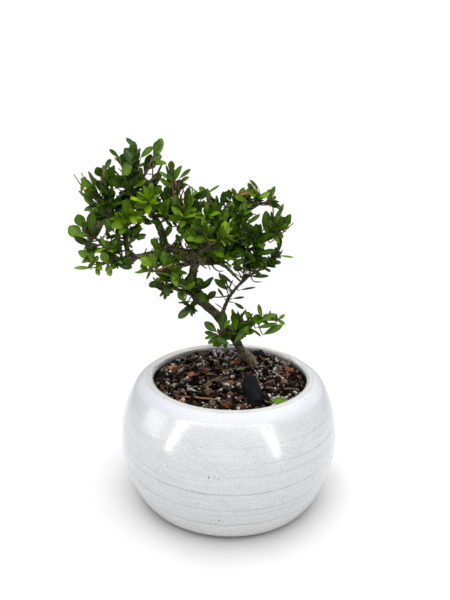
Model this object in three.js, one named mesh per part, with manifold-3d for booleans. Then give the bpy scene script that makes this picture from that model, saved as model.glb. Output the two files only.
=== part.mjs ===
// A small-leaved bonsai tree in a round glazed bowl. Millimetres, +Z up.
// The origin is the centre of the pot's flat base.

import * as THREE from "three";
import { mergeVertices } from "three/addons/utils/BufferGeometryUtils.js";
import Module from "manifold-3d";

const wasm = await Module();
wasm.setup();

const GAP = 0.3; // clearance between two neighbouring pieces

// ---------------------------------------------------------------- pot
const BOWL_RADIUS = 62.5;
const BOWL_CENTRE_Z = 36.7;
const WALL = 4.7;
const FOOT_RADIUS = 48.5;
const FLOOR_THICKNESS = 5.5;
const MOUTH_RADIUS = 43.8; // inside of the lip
const LIP_RADIUS = 48.2; // outside of the lip
const LIP_Z = 73.2; // crest of the lip
const POT_SIDES = 40;
const DRAIN_COUNT = 3;
const DRAIN_RADIUS = 4.5;
const DRAIN_RING_RADIUS = 20;

// ---------------------------------------------------------------- soil
const SOIL_Z = 68.3; // surface at the centre of the mouth
const SOIL_SLOPE = 0.012; // the surface rises towards the back
const SOIL_BUMP = 0.35;

// ---------------------------------------------------------------- wood
// Each limb is a list of [x, y, z, radius] stations that a smooth curve runs through.
const LIMBS = {
  trunk: [
    [18, 27, 46, 4.3], [17.5, 26.5, 58, 4.8], [16.5, 25, 69, 4.4], [9.5, 24, 78, 3.9],
    [3.5, 23, 86.5, 3.7], [-3, 20, 94.5, 3.5], [-9, 16, 103.5, 3.4], [-15, 12.5, 110, 3.3],
    [-20, 9, 115.5, 3.2], [-22.5, 6, 124, 3.0], [-21.5, 3, 133, 3.2], [-19, 1, 141, 3.0],
  ],
  leader: [
    [-19, 1, 141, 3.0], [-28, 0, 144, 2.6], [-36.5, 0, 147, 2.4], [-38.5, 0.5, 154, 2.2],
    [-43, 3, 162.5, 1.9], [-50.5, 5, 168.5, 1.5], [-55.5, 7, 177, 0.9],
  ],
  burl: [[-30, 1, 143.5, 1.6], [-23, 0, 141, 3.9], [-13, 0, 140.5, 3.6], [-5, 0, 138, 1.5]],
  left_arm: [
    [-33, 0, 146, 1.8], [-43.5, -3, 143, 1.8], [-52, -6, 142, 1.6], [-60, -9, 141, 1.3],
    [-70, -12, 139, 0.8],
  ],
  left_riser: [
    [-55.5, -7, 141.5, 1.5], [-57, -5, 150, 1.5], [-58.5, -2, 157, 1.3], [-63, 1, 163, 1.1],
    [-70, 3, 168, 0.7],
  ],
  left_tip: [[-60, -9, 141, 1.1], [-68, -7, 147, 0.9], [-71.5, -5, 150.5, 0.7]],
  top_arm: [[-19, 1, 141, 2.2], [-22, 3, 150, 2.0], [-26, 5, 158, 1.6], [-31, 8, 167, 1.0]],
  mid_arm: [[-22, 3, 150, 1.5], [-15, 6, 159, 1.3], [-8, 8, 165, 0.8]],
  right_arm: [
    [-19, 1, 141, 2.2], [-11, 4, 147, 2.1], [-3, 6, 155, 1.8], [4, 8, 163, 1.4],
    [12, 10, 168.5, 1.0], [16.5, 10, 170, 0.6],
  ],
  right_low: [
    [-11, 4, 147, 1.6], [0, 8, 143.5, 1.4], [11, 12, 144, 1.2], [19.5, 14, 149.5, 1.0],
    [25, 15, 153, 0.6],
  ],
  crook: [
    [-6.5, 17.5, 100, 1.9], [-1, 20, 113.5, 1.5], [8, 21, 124, 1.3], [16, 22, 129.5, 1.0],
    [21, 22, 135, 0.6],
  ],
  cross_twig: [[-8, 1, 139, 1.2], [-3, 0, 135.5, 1.0], [4, -2, 129, 0.6]],
  front_arm: [[-19, 1, 141, 1.8], [-17, -7, 146, 1.4], [-12, -14, 151, 0.9]],
  front_left: [[-21, 2, 138, 1.5], [-31, -7, 137, 1.2], [-42, -13, 136, 0.7]],
  low_left: [[-21.5, 8, 118, 1.5], [-28, 0, 122, 1.1], [-38, -8, 128, 0.6]],
  foot_right: [[3, 23, 87, 1.8], [9, 19, 95, 1.5], [16, 15, 100, 1.1], [21, 12.5, 102, 0.6]],
  nub: [[-45, -3.5, 143, 1.2], [-46, -4.5, 139.5, 0.9]],
  root_right: [[15, 26, 70, 3.2], [21, 23.5, 66.5, 2.2], [28, 17, 58, 1.4], [31, 12, 47, 0.8]],
  root_left: [[15, 26, 66, 3.0], [8, 27, 60, 2.0], [-3, 27, 50, 1.3], [-10, 22, 40, 0.8]],
  root_front: [[18, 25, 58, 3.0], [16, 15, 50, 1.9], [10, 3, 42, 1.2], [6, -8, 34, 0.8]],
  root_down: [[18, 27, 48, 3.6], [17, 26, 36, 2.2], [12, 22, 25, 1.1]],
};
const STATION_STEPS = 2; // rings between two stations of a limb
const BARK_RELIEF = 0.09; // share of the radius

// ---------------------------------------------------------------- foliage
// Each sprig: its limb, where it leaves that limb (station number, fractions between two),
// compass bearing and rise of its twig in degrees, twig length, leaf count, leaf length,
// and tone (0 an old dark sprig, 1 a young bright one).
const SPRIGS = [
  ["leader", 6.0, 320, 82, 11, 11, 14, 0.35],
  ["leader", 5.6, 8, 56, 18, 9, 12, 0.5],
  ["leader", 4.9, 205, 52, 12, 10, 12, 0.3],
  ["leader", 4.8, 62, 58, 9, 10, 11, 0.2],
  ["leader", 4.5, 286, 30, 9, 10, 13, 0.9],
  ["leader", 0.8, 245, 50, 5, 6, 10, 0.15],
  ["left_riser", 4.0, 340, 76, 11, 10, 12, 0.3],
  ["left_riser", 3.5, 215, 52, 10, 10, 12, 0.4],
  ["left_riser", 3.2, 276, 66, 8, 10, 11, 0.15],
  ["left_riser", 2.6, 205, 16, 8, 10, 12, 0.5],
  ["left_riser", 2.0, 305, 36, 11, 11, 12, 0.8],
  ["left_riser", 1.2, 200, 10, 7, 9, 10, 0.15],
  ["left_riser", 1.6, 335, -12, 5, 5, 10, 0.1],
  ["left_tip", 2.0, 196, 34, 4, 9, 14, 0.25],
  ["left_tip", 1.3, 215, -2, 6, 9, 11, 0.2],
  ["left_arm", 3.8, 215, 20, 5, 11, 10, 0.8],
  ["left_arm", 3.3, 300, -8, 5, 6, 10, 0.15],
  ["left_arm", 2.8, 190, 62, 6, 8, 10, 0.2],
  ["top_arm", 3.0, 150, 74, 12, 10, 12, 0.35],
  ["top_arm", 2.8, 30, 22, 9, 9, 12, 0.4],
  ["top_arm", 2.2, 190, 40, 9, 10, 12, 0.15],
  ["top_arm", 2.0, 268, 26, 10, 11, 12, 0.55],
  ["mid_arm", 2.0, 60, 62, 6, 10, 10, 0.15],
  ["mid_arm", 1.0, 275, 22, 9, 11, 12, 0.7],
  ["right_arm", 4.0, 285, 60, 4, 8, 9, 0.95],
  ["right_arm", 3.0, 95, 52, 7, 10, 11, 0.2],
  ["right_arm", 5.0, 345, 8, 3, 8, 9, 0.3],
  ["right_arm", 2.4, 300, 30, 9, 10, 11, 0.3],
  ["right_arm", 1.2, 272, 42, 7, 10, 11, 0.2],
  ["right_low", 2.3, 275, 64, 7, 9, 13, 0.3],
  ["right_low", 3.2, 285, 66, 6, 7, 16, 0.5],
  ["right_low", 4.0, 15, 40, 4, 9, 10, 0.4],
  ["right_low", 1.8, 305, -38, 7, 8, 11, 0.1],
  ["right_low", 1.0, 262, 44, 9, 11, 12, 0.3],
  ["crook", 4.0, 350, 38, 4, 8, 12, 0.4],
  ["crook", 2.9, 325, 28, 6, 8, 11, 0.4],
  ["crook", 2.3, 272, 56, 8, 9, 11, 0.3],
  ["crook", 1.2, 215, 50, 6, 5, 11, 0.3],
  ["front_arm", 2.0, 215, 58, 8, 11, 12, 0.5],
  ["front_arm", 1.8, 330, 35, 6, 10, 12, 0.9],
  ["front_left", 2.0, 232, 14, 4, 9, 11, 0.8],
  ["front_left", 1.2, 190, 60, 8, 9, 12, 0.5],
  ["low_left", 1.5, 240, -20, 4, 8, 9, 0.15],
  ["low_left", 1.2, 258, 40, 9, 10, 14, 0.8],
  ["trunk", 7.6, 232, -18, 4, 8, 11, 0.15],
  ["trunk", 8.3, 295, 34, 7, 9, 12, 0.15],
  ["foot_right", 2.7, 325, 10, 5, 9, 10, 0.8],
  ["foot_right", 1.7, 310, 24, 7, 9, 11, 0.6],
  ["trunk", 3.9, 275, 38, 8, 10, 13, 0.3],
  ["trunk", 4.3, 222, -16, 5, 10, 12, 0.3],
];
const TWIG_RADIUS = 0.6;
const TWIG_SIDES = 4;
const LEAF_THICKNESS = 0.7;
const LEAF_WIDTH_SHARE = 0.46; // of the leaf's length
const GOLDEN_ANGLE = 2.39996; // turn from one leaf to the next around its twig
const LEAF_TRIES = 8; // places tried for each leaf before it is left out

// ---------------------------------------------------------------- loose pieces on the soil
// Each chip: centre x and y, height above the soil, three half sizes, bearing in degrees, colour.
const CHIPS = {
  charcoal_chunk: [12, -19.5, 3.2, [4.6, 9.6, 5.4], -6, 0x17171b],
  charcoal_back: [18.5, 34.8, 1.6, [3.9, 2.5, 3.2], 10, 0x1b1a1e],
  scoria_right: [35.5, 14, 0.8, [3.2, 3.6, 2.1], 20, 0x9c4f2a],
  scoria_left: [-34.5, 13.5, 0.6, [2.7, 2.4, 1.9], 50, 0xa8532e],
};
const BARK_CURL = { start: [-14.5, -12.5], end: [-3.5, 1.5], radius: 1.5, color: 0x5b4a3c };
const STICK = { start: [-26, -24.5], end: [-3.5, -27.5], radius: 0.75, color: 0x8a5a38 };
const FALLEN_LEAF = { at: [28.5, -26.2], bearing: 12, length: 9.5, color: 0x3f8f2a };

// ---------------------------------------------------------------- helpers

// A repeatable number from 0 to 1 for a pair of whole numbers.
function noise(a, b) {
  const s = Math.sin(a * 12.9898 + b * 78.233) * 43758.5453;
  return s - Math.floor(s);
}

function vec(x, y, z) {
  return new THREE.Vector3(x, y, z);
}

function lerp(a, b, t) {
  return a + (b - a) * t;
}

// A unit vector from a compass bearing (from +X towards +Y) and a rise above level, in degrees.
function heading(bearing, rise) {
  const b = THREE.MathUtils.degToRad(bearing);
  const r = THREE.MathUtils.degToRad(rise);
  return vec(Math.cos(b) * Math.cos(r), Math.sin(b) * Math.cos(r), Math.sin(r));
}

function geometryOf(points, triangles) {
  const geometry = new THREE.BufferGeometry();
  geometry.setAttribute("position", new THREE.Float32BufferAttribute(points, 3));
  geometry.setIndex(triangles);
  return geometry;
}

function toSolid(geometry) {
  const bare = geometry.clone();
  bare.deleteAttribute("normal");
  bare.deleteAttribute("uv");
  const welded = mergeVertices(bare, 1e-4);
  const mesh = new wasm.Mesh({
    numProp: 3,
    vertProperties: new Float32Array(welded.attributes.position.array),
    triVerts: new Uint32Array(welded.index.array),
  });
  return new wasm.Manifold(mesh);
}

function toGeometry(solid) {
  const mesh = solid.getMesh();
  const geometry = geometryOf(Array.from(mesh.vertProperties), Array.from(mesh.triVerts));
  return geometry;
}

function joined(solids) {
  return solids.reduce((sum, solid) => sum.add(solid));
}

const group = new THREE.Group();
group.name = "bonsai_tree";

function addMesh(name, geometry, color, roughness, metalness = 0) {
  const flat = geometry.index ? geometry.toNonIndexed() : geometry;
  flat.computeVertexNormals();
  const material = new THREE.MeshStandardMaterial({ color, roughness, metalness });
  const mesh = new THREE.Mesh(flat, material);
  mesh.name = name;
  group.add(mesh);
}

// ---------------------------------------------------------------- limbs

// Point and radius at station number u of a limb, on the smooth curve through its stations.
function limbAt(stations, u) {
  const last = stations.length - 1;
  const i = Math.min(Math.floor(u), last - 1);
  const t = u - i;
  const p0 = stations[Math.max(i - 1, 0)];
  const p1 = stations[i];
  const p2 = stations[i + 1];
  const p3 = stations[Math.min(i + 2, last)];
  const at = [0, 1, 2].map((k) => {
    const a = 2 * p1[k];
    const b = p2[k] - p0[k];
    const c = 2 * p0[k] - 5 * p1[k] + 4 * p2[k] - p3[k];
    const d = 3 * p1[k] - p0[k] - 3 * p2[k] + p3[k];
    return 0.5 * (a + b * t + c * t * t + d * t * t * t);
  });
  return { point: vec(...at), radius: lerp(p1[3], p2[3], t) };
}

// A closed round-sectioned body through rings, each with a centre and a radius for every side.
function sweptRings(rings, sides) {
  const points = [];
  const triangles = [];
  let across = vec(0.31, 0.93, 0.17);
  rings.forEach((ring, n) => {
    const ahead = rings[Math.min(n + 1, rings.length - 1)].centre;
    const behind = rings[Math.max(n - 1, 0)].centre;
    const along = ahead.clone().sub(behind).normalize();
    across = across.clone().addScaledVector(along, -across.dot(along)).normalize();
    const other = along.clone().cross(across);
    for (let k = 0; k < sides; k += 1) {
      const angle = (2 * Math.PI * k) / sides;
      const radius = ring.radii(k);
      const p = ring.centre.clone();
      p.addScaledVector(across, Math.cos(angle) * radius);
      p.addScaledVector(other, Math.sin(angle) * radius);
      points.push(p.x, p.y, p.z);
    }
  });
  for (let n = 0; n + 1 < rings.length; n += 1) {
    for (let k = 0; k < sides; k += 1) {
      const a = n * sides + k;
      const b = n * sides + ((k + 1) % sides);
      triangles.push(a, b, b + sides, a, b + sides, a + sides);
    }
  }
  const first = rings[0].centre;
  const end = rings[rings.length - 1].centre;
  const firstIndex = points.length / 3;
  points.push(first.x, first.y, first.z, end.x, end.y, end.z);
  for (let k = 0; k < sides; k += 1) {
    const next = (k + 1) % sides;
    const top = (rings.length - 1) * sides;
    triangles.push(firstIndex, next, k, firstIndex + 1, top + k, top + next);
  }
  return geometryOf(points, triangles);
}

// One limb as a closed body, its radius grown by `extra`.
function limbSolid(stations, number, extra) {
  const thick = Math.max(...stations.map((s) => s[3])) > 2;
  const sides = thick ? 8 : 5;
  const rings = [];
  const count = (stations.length - 1) * STATION_STEPS;
  for (let n = 0; n <= count; n += 1) {
    const { point, radius } = limbAt(stations, n / STATION_STEPS);
    const radii = (k) => radius * (1 + BARK_RELIEF * (2 * noise(number * 40 + n, k) - 1)) + extra;
    rings.push({ centre: point, radii });
  }
  if (extra > 0) {
    for (const [end, inner] of [[0, 1], [count, count - 1]]) {
      const outward = rings[end].centre.clone().sub(rings[inner].centre).setLength(extra);
      rings[end].centre.add(outward);
    }
  }
  return toSolid(sweptRings(rings, sides));
}

function woodSolid(extra) {
  return joined(Object.values(LIMBS).map((stations, n) => limbSolid(stations, n, extra)));
}

// ---------------------------------------------------------------- leaves

// A thin blunt-tipped leaf, widest beyond its middle, from its base along `dir`.
// `grown` makes it larger all round, to test how much room it has.
function leafSolid(leaf, grown = 0) {
  const side = leaf.normal.clone().cross(leaf.dir).normalize();
  const half = leaf.width / 2 + grown;
  const thick = LEAF_THICKNESS / 2 + grown;
  const at = (along, across, up) => {
    const p = leaf.base.clone();
    p.addScaledVector(leaf.dir, along);
    p.addScaledVector(side, across);
    p.addScaledVector(leaf.normal, up);
    return [p.x, p.y, p.z];
  };
  const long = leaf.length;
  const outline = [
    at(-grown, 0, 0),
    at(0.62 * long, -half, 0),
    at(0.98 * long + grown, -0.42 * half, 0),
    at(0.98 * long + grown, 0.42 * half, 0),
    at(0.62 * long, half, 0),
  ];
  const points = [...outline, at(0.55 * long, 0, thick), at(0.55 * long, 0, -thick)].flat();
  const triangles = [];
  for (let k = 0; k < outline.length; k += 1) {
    const next = (k + 1) % outline.length;
    triangles.push(k, next, 5, next, k, 6);
  }
  return toSolid(geometryOf(points, triangles));
}

// How far from a limb's centreline a twig starts, so that it just clears the bark.
function twigOffset(stations, station, radius, axis) {
  const bark = radius * (1 + BARK_RELIEF) + GAP;
  const last = stations.length - 1;
  if (station === last) {
    return bark;
  }
  const ahead = limbAt(stations, Math.min(station + 0.1, last)).point;
  const behind = limbAt(stations, Math.max(station - 0.1, 0)).point;
  const along = ahead.sub(behind).normalize();
  const cosine = Math.abs(along.dot(axis));
  const sine = Math.max(Math.sqrt(1 - cosine * cosine), 0.4);
  return (bark + TWIG_RADIUS * cosine) / sine;
}

// The twig of a sprig: its direction, and the point a share of the way along it.
function twigOf(sprig) {
  const [limb, station, bearing, rise, length] = sprig;
  const { point, radius } = limbAt(LIMBS[limb], station);
  const axis = heading(bearing, rise);
  const offset = twigOffset(LIMBS[limb], station, radius, axis);
  const start = point.clone().addScaledVector(axis, offset);
  const bow = vec(0, 0, 0.1 * length);
  const at = (t) => start.clone().addScaledVector(axis, length * t).addScaledVector(bow, t * t);
  return { axis, at };
}

function twigSolid(twig, grown = 0) {
  const rings = [0, 0.5, 1].map((t) => {
    const radius = lerp(TWIG_RADIUS, 0.7 * TWIG_RADIUS, t) + grown;
    return { centre: twig.at(t), radii: () => radius };
  });
  return toSolid(sweptRings(rings, TWIG_SIDES));
}

// Leaf number `i` of sprig number `n`. Each try turns it further round the twig.
function leafOf(sprig, n, i, attempt) {
  const [, , , , , count, leafLength] = sprig;
  const twig = twigOf(sprig);
  const t = lerp(0.05, 1, (i + 1) / count);
  const turn = GOLDEN_ANGLE * i + 0.7 * attempt + 2 * Math.PI * noise(n, 7);
  const open = lerp(1.5, 0.45, t) + 0.5 * (noise(n * 31 + i, 3) - 0.5);
  const across = vec(0.31, 0.93, 0.17);
  across.addScaledVector(twig.axis, -across.dot(twig.axis)).normalize();
  const other = twig.axis.clone().cross(across);
  const dir = twig.axis.clone().multiplyScalar(Math.cos(open));
  dir.addScaledVector(across, Math.cos(turn) * Math.sin(open));
  dir.addScaledVector(other, Math.sin(turn) * Math.sin(open));
  dir.z += 0.2;
  dir.normalize();
  const normal = twig.axis.clone().add(vec(0, -0.25, 0.5));
  normal.addScaledVector(dir, -normal.dot(dir)).normalize();
  const size = lerp(0.7, 1.05, noise(n * 17 + i, 11)) * (attempt > 4 ? 0.75 : 1);
  const length = leafLength * size;
  const width = length * LEAF_WIDTH_SHARE * lerp(0.85, 1.15, noise(n * 13 + i, 5));
  const base = twig.at(t).addScaledVector(dir, -0.45);
  return { base, dir, normal, length, width };
}

function boxesMeet(a, b) {
  const low = [0, 1, 2].every((k) => a.min[k] <= b.max[k]);
  const high = [0, 1, 2].every((k) => b.min[k] <= a.max[k]);
  return low && high;
}

// Whether a solid keeps clear of every one of the others.
function isClear(solid, others) {
  const box = solid.boundingBox();
  return others.every((other) => {
    if (!boxesMeet(box, other.box)) {
      return true;
    }
    return solid.intersect(other.solid).isEmpty();
  });
}

// From an old leaf's dark green at tone 0 to a young one's yellow-green at tone 1.
function leafColor(tone) {
  return new THREE.Color(0x1f4a1c).lerp(new THREE.Color(0x7fb02a), tone);
}

// ---------------------------------------------------------------- pot and soil

function bowlRadiusAt(z, radius) {
  return Math.sqrt(radius * radius - (z - BOWL_CENTRE_Z) ** 2);
}

function potSolid() {
  const profile = [[0, 0], [FOOT_RADIUS, 0], [bowlRadiusAt(1.6, BOWL_RADIUS), 1.6]];
  for (const z of [8, 17, 27, 36.7, 46, 55, 62, 67.2]) {
    profile.push([bowlRadiusAt(z, BOWL_RADIUS), z]);
  }
  const lipMiddle = (MOUTH_RADIUS + LIP_RADIUS) / 2;
  profile.push([LIP_RADIUS + 4, 69.9], [LIP_RADIUS + 1.4, 71.9], [LIP_RADIUS - 0.7, LIP_Z - 0.4]);
  profile.push([lipMiddle, LIP_Z], [MOUTH_RADIUS + 0.7, LIP_Z - 0.5], [MOUTH_RADIUS, LIP_Z - 1.6]);
  profile.push([MOUTH_RADIUS + 1.1, 68], [48.6, 63]);
  for (const z of [55, 46, 36.7, 27, 17, 11]) {
    profile.push([bowlRadiusAt(z, BOWL_RADIUS - WALL), z]);
  }
  profile.push([46, FLOOR_THICKNESS], [0, FLOOR_THICKNESS]);
  const points = profile.map(([r, z]) => new THREE.Vector2(r, z));
  const lathe = new THREE.LatheGeometry(points, POT_SIDES).rotateX(Math.PI / 2);
  let pot = toSolid(lathe);
  for (let n = 0; n < DRAIN_COUNT; n += 1) {
    const angle = (2 * Math.PI * (n + 0.25)) / DRAIN_COUNT;
    const drill = new THREE.CylinderGeometry(DRAIN_RADIUS, DRAIN_RADIUS, 20, 20);
    drill.rotateX(Math.PI / 2);
    drill.translate(DRAIN_RING_RADIUS * Math.cos(angle), DRAIN_RING_RADIUS * Math.sin(angle), 0);
    pot = pot.subtract(toSolid(drill));
  }
  return pot;
}

function soilHeight(x, y, n) {
  return SOIL_Z + SOIL_SLOPE * y + SOIL_BUMP * (2 * noise(n, 2) - 1);
}

// The soil fills the bowl to just under the lip. Its top is a grid of rings with small bumps.
function soilSolid() {
  const side = [[40, FLOOR_THICKNESS + GAP], [45.6, FLOOR_THICKNESS + GAP]];
  for (const z of [11, 17, 27, 36.7, 46, 55]) {
    side.push([bowlRadiusAt(z, BOWL_RADIUS - WALL) - 2 * GAP, z]);
  }
  side.push([47.6, 63], [45, 66.4]);
  const sides = 32;
  const topRadii = [43.5, 37, 27, 15];
  const points = [0, 0, FLOOR_THICKNESS + GAP];
  const ringCount = side.length - 1 + topRadii.length;
  side.slice(1).forEach(([r, z]) => {
    for (let k = 0; k < sides; k += 1) {
      const angle = (2 * Math.PI * k) / sides;
      points.push(r * Math.cos(angle), r * Math.sin(angle), z);
    }
  });
  topRadii.forEach((r, ring) => {
    for (let k = 0; k < sides; k += 1) {
      const angle = (2 * Math.PI * (k + 0.5 * (ring % 2))) / sides;
      const x = r * Math.cos(angle);
      const y = r * Math.sin(angle);
      points.push(x, y, soilHeight(x, y, ring === 0 ? 0 : ring * sides + k));
    }
  });
  points.push(0, 0, SOIL_Z);
  const centre = points.length / 3 - 1;
  const triangles = [];
  for (let k = 0; k < sides; k += 1) {
    const next = (k + 1) % sides;
    triangles.push(0, 1 + next, 1 + k);
    for (let ring = 0; ring + 1 < ringCount; ring += 1) {
      const a = 1 + ring * sides + k;
      const b = 1 + ring * sides + next;
      triangles.push(a, b, b + sides, a, b + sides, a + sides);
    }
    const top = 1 + (ringCount - 1) * sides;
    triangles.push(top + k, top + next, centre);
  }
  return toSolid(geometryOf(points, triangles));
}

// ---------------------------------------------------------------- loose pieces

// A broken lump: a blocky ball of flat facets, each corner pushed in or out a little.
function chipSolid(number, chip, extra) {
  const [x, y, lift, half, bearing] = chip;
  const lump = mergeVertices(new THREE.IcosahedronGeometry(1, 1).deleteAttribute("uv")
    .deleteAttribute("normal"), 1e-3);
  const position = lump.attributes.position;
  for (let k = 0; k < position.count; k += 1) {
    const p = vec(position.getX(k), position.getY(k), position.getZ(k));
    const blocky = (p.x ** 4 + p.y ** 4 + p.z ** 4) ** -0.25;
    p.multiplyScalar(blocky * lerp(0.88, 1.12, noise(number * 50 + k, 9)));
    position.setXYZ(k, p.x * (half[0] + extra), p.y * (half[1] + extra), p.z * (half[2] + extra));
  }
  lump.rotateZ(THREE.MathUtils.degToRad(bearing));
  lump.translate(x, y, SOIL_Z + SOIL_SLOPE * y + lift);
  return toSolid(lump);
}

// A short stick that lies on the soil, slightly crooked.
function stickSolid(stick, extra) {
  const lift = 0.5 * stick.radius;
  const at = (t, crook) => {
    const x = lerp(stick.start[0], stick.end[0], t);
    const y = lerp(stick.start[1], stick.end[1], t);
    return vec(x, y + crook, SOIL_Z + SOIL_SLOPE * y + lift);
  };
  const radius = stick.radius + extra;
  const rings = [at(-0.02 * extra, 0), at(0.35, 0.5), at(0.7, -0.4), at(1 + 0.02 * extra, 0)];
  return toSolid(sweptRings(rings.map((centre) => ({ centre, radii: () => radius })), 7));
}

function fallenLeafSolid(extra) {
  const [x, y] = FALLEN_LEAF.at;
  const dir = heading(FALLEN_LEAF.bearing, 4);
  const normal = vec(-0.1, -0.15, 1);
  normal.addScaledVector(dir, -normal.dot(dir)).normalize();
  const base = vec(x, y, SOIL_Z + SOIL_SLOPE * y + 1.2);
  base.addScaledVector(dir, -FALLEN_LEAF.length / 2);
  const leaf = { base, dir, normal, length: FALLEN_LEAF.length, width: 4.6 };
  return leafSolid(leaf, extra);
}

// ---------------------------------------------------------------- assembly

const wood = woodSolid(0);
const chips = Object.entries(CHIPS);
const pot = potSolid();
const pockets = [
  woodSolid(GAP),
  ...chips.map(([, chip], n) => chipSolid(n, chip, GAP * 1.4)),
  stickSolid(BARK_CURL, GAP),
  stickSolid(STICK, GAP),
  fallenLeafSolid(GAP),
];
const soil = pockets.reduce((rest, pocket) => rest.subtract(pocket), soilSolid());

addMesh("pot", toGeometry(pot), 0xdfe1e6, 0.22);
addMesh("soil", toGeometry(soil), 0x2b2320, 0.95);
addMesh("wood", toGeometry(wood), 0x5c5142, 0.85);
chips.forEach(([name, chip], n) => {
  addMesh(name, toGeometry(chipSolid(n, chip, 0)), chip[5], 0.85);
});
addMesh("bark_curl", toGeometry(stickSolid(BARK_CURL, 0)), BARK_CURL.color, 0.9);
addMesh("stick", toGeometry(stickSolid(STICK, 0)), STICK.color, 0.85);
addMesh("fallen_leaf", toGeometry(fallenLeafSolid(0)), FALLEN_LEAF.color, 0.4);

// Every twig is placed first, then each sprig's leaves take the room that is left.
const obstacles = [wood, pot, soil].map((solid) => ({ solid, box: solid.boundingBox() }));
const twigs = SPRIGS.map(twigOf);
const sprigSolids = twigs.map((twig) => twigSolid(twig));
const keepOff = twigs.map((twig) => {
  const solid = twigSolid(twig, GAP);
  return { solid, box: solid.boundingBox() };
});
SPRIGS.forEach((sprig, n) => {
  const count = sprig[5];
  const others = [...obstacles, ...keepOff.filter((entry, k) => k !== n)];
  for (let i = 0; i < count; i += 1) {
    for (let attempt = 0; attempt < LEAF_TRIES; attempt += 1) {
      const leaf = leafOf(sprig, n, i, attempt);
      if (isClear(leafSolid(leaf, GAP), others)) {
        sprigSolids[n] = sprigSolids[n].add(leafSolid(leaf));
        break;
      }
    }
  }
  keepOff[n] = { solid: sprigSolids[n], box: sprigSolids[n].boundingBox() };
});

sprigSolids.forEach((solid, n) => {
  const name = `sprig_${String(n + 1).padStart(2, "0")}_${SPRIGS[n][0]}`;
  addMesh(name, toGeometry(solid), leafColor(SPRIGS[n][7]), 0.4);
});

export default group;
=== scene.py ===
# The looks of a small-leaved bonsai tree in a round glazed bowl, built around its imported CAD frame.
# Shapes are worked out in millimetres and turned into metres when a mesh is made. +Z is up.

import math
import random
from collections import namedtuple

import bmesh
import bpy
from mathutils import Matrix, Vector, noise


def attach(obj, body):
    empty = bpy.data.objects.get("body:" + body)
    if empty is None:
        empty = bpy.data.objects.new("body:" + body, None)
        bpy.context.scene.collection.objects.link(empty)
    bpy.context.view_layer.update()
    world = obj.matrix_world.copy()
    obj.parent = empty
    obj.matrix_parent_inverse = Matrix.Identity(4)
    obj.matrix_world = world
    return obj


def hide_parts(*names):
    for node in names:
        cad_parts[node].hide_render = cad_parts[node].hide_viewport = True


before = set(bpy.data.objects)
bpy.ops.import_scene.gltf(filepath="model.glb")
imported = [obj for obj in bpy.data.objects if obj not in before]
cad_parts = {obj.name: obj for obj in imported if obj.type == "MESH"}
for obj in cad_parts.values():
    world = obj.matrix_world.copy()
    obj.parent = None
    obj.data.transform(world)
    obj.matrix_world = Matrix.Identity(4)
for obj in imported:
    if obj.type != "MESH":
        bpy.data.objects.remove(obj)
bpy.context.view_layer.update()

MM = 0.001
BODY = "root"
# The first random seed of each group of pieces.
SEEDS = {
    "sprigs": 1000, "limb_shoots": 3000, "standouts": 5000, "bare_shoots": 6000, "twiglets": 88,
    "chips": 400, "litter": 77,
}

# ---------------------------------------------------------------- camera and studio
CAMERA_PLACE = (-3.8, -301.8, 208.2)
CAMERA_PITCH = 16.79  # degrees below level
CAMERA_ROLL = 1.12
CAMERA_LENS = 34.0
FLOOR_RADIUS = 430
FLOOR_SIDES = 96
FLOOR_FADE = 100  # where the floor starts to fade into the backdrop
WORLD_STRENGTH = 0.37  # what lights the object
BACKDROP_STRENGTH = 1.0  # what the camera sees behind it

# ---------------------------------------------------------------- pot
BOWL_RADIUS = 62.5
BOWL_CENTRE_Z = 36.7
WALL = 4.7
FOOT_RADIUS = 48.5
FLOOR_THICKNESS = 5.5
MOUTH_RADIUS = 43.8
LIP_Z = 73.2
GLAZE_LINE_Z = 14.8  # below it the glaze is thin and plain
PAINTED_SHADE_FROM_TO = (56, 72)  # between these heights the glaze is painted greyer towards the lip: painted shade against the overhead light
GROOVED_FROM_TO = (2, 68)
DRAIN_RADIUS = 4.5
DRAIN_RING_RADIUS = 20
POT_SIDES = 160
DRAIN_HOLES = 3
INNER_RADIUS = BOWL_RADIUS - WALL
ROUND_BODY = (3.6, 68.6, 0.45)  # where the ball shape starts and ends, and the step between its rings

# ---------------------------------------------------------------- soil
SOIL_Z = 68.3
SOIL_SLOPE = 0.012
SOIL_SIDES = 128
SOIL_BOTTOM_Z = 5.8
SOIL_TOP_RADII = [44.0 - 1.1 * k for k in range(40)]  # the rings of its surface
MOUTH_INSIDE = 43.4  # how far out loose grit reaches

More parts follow.
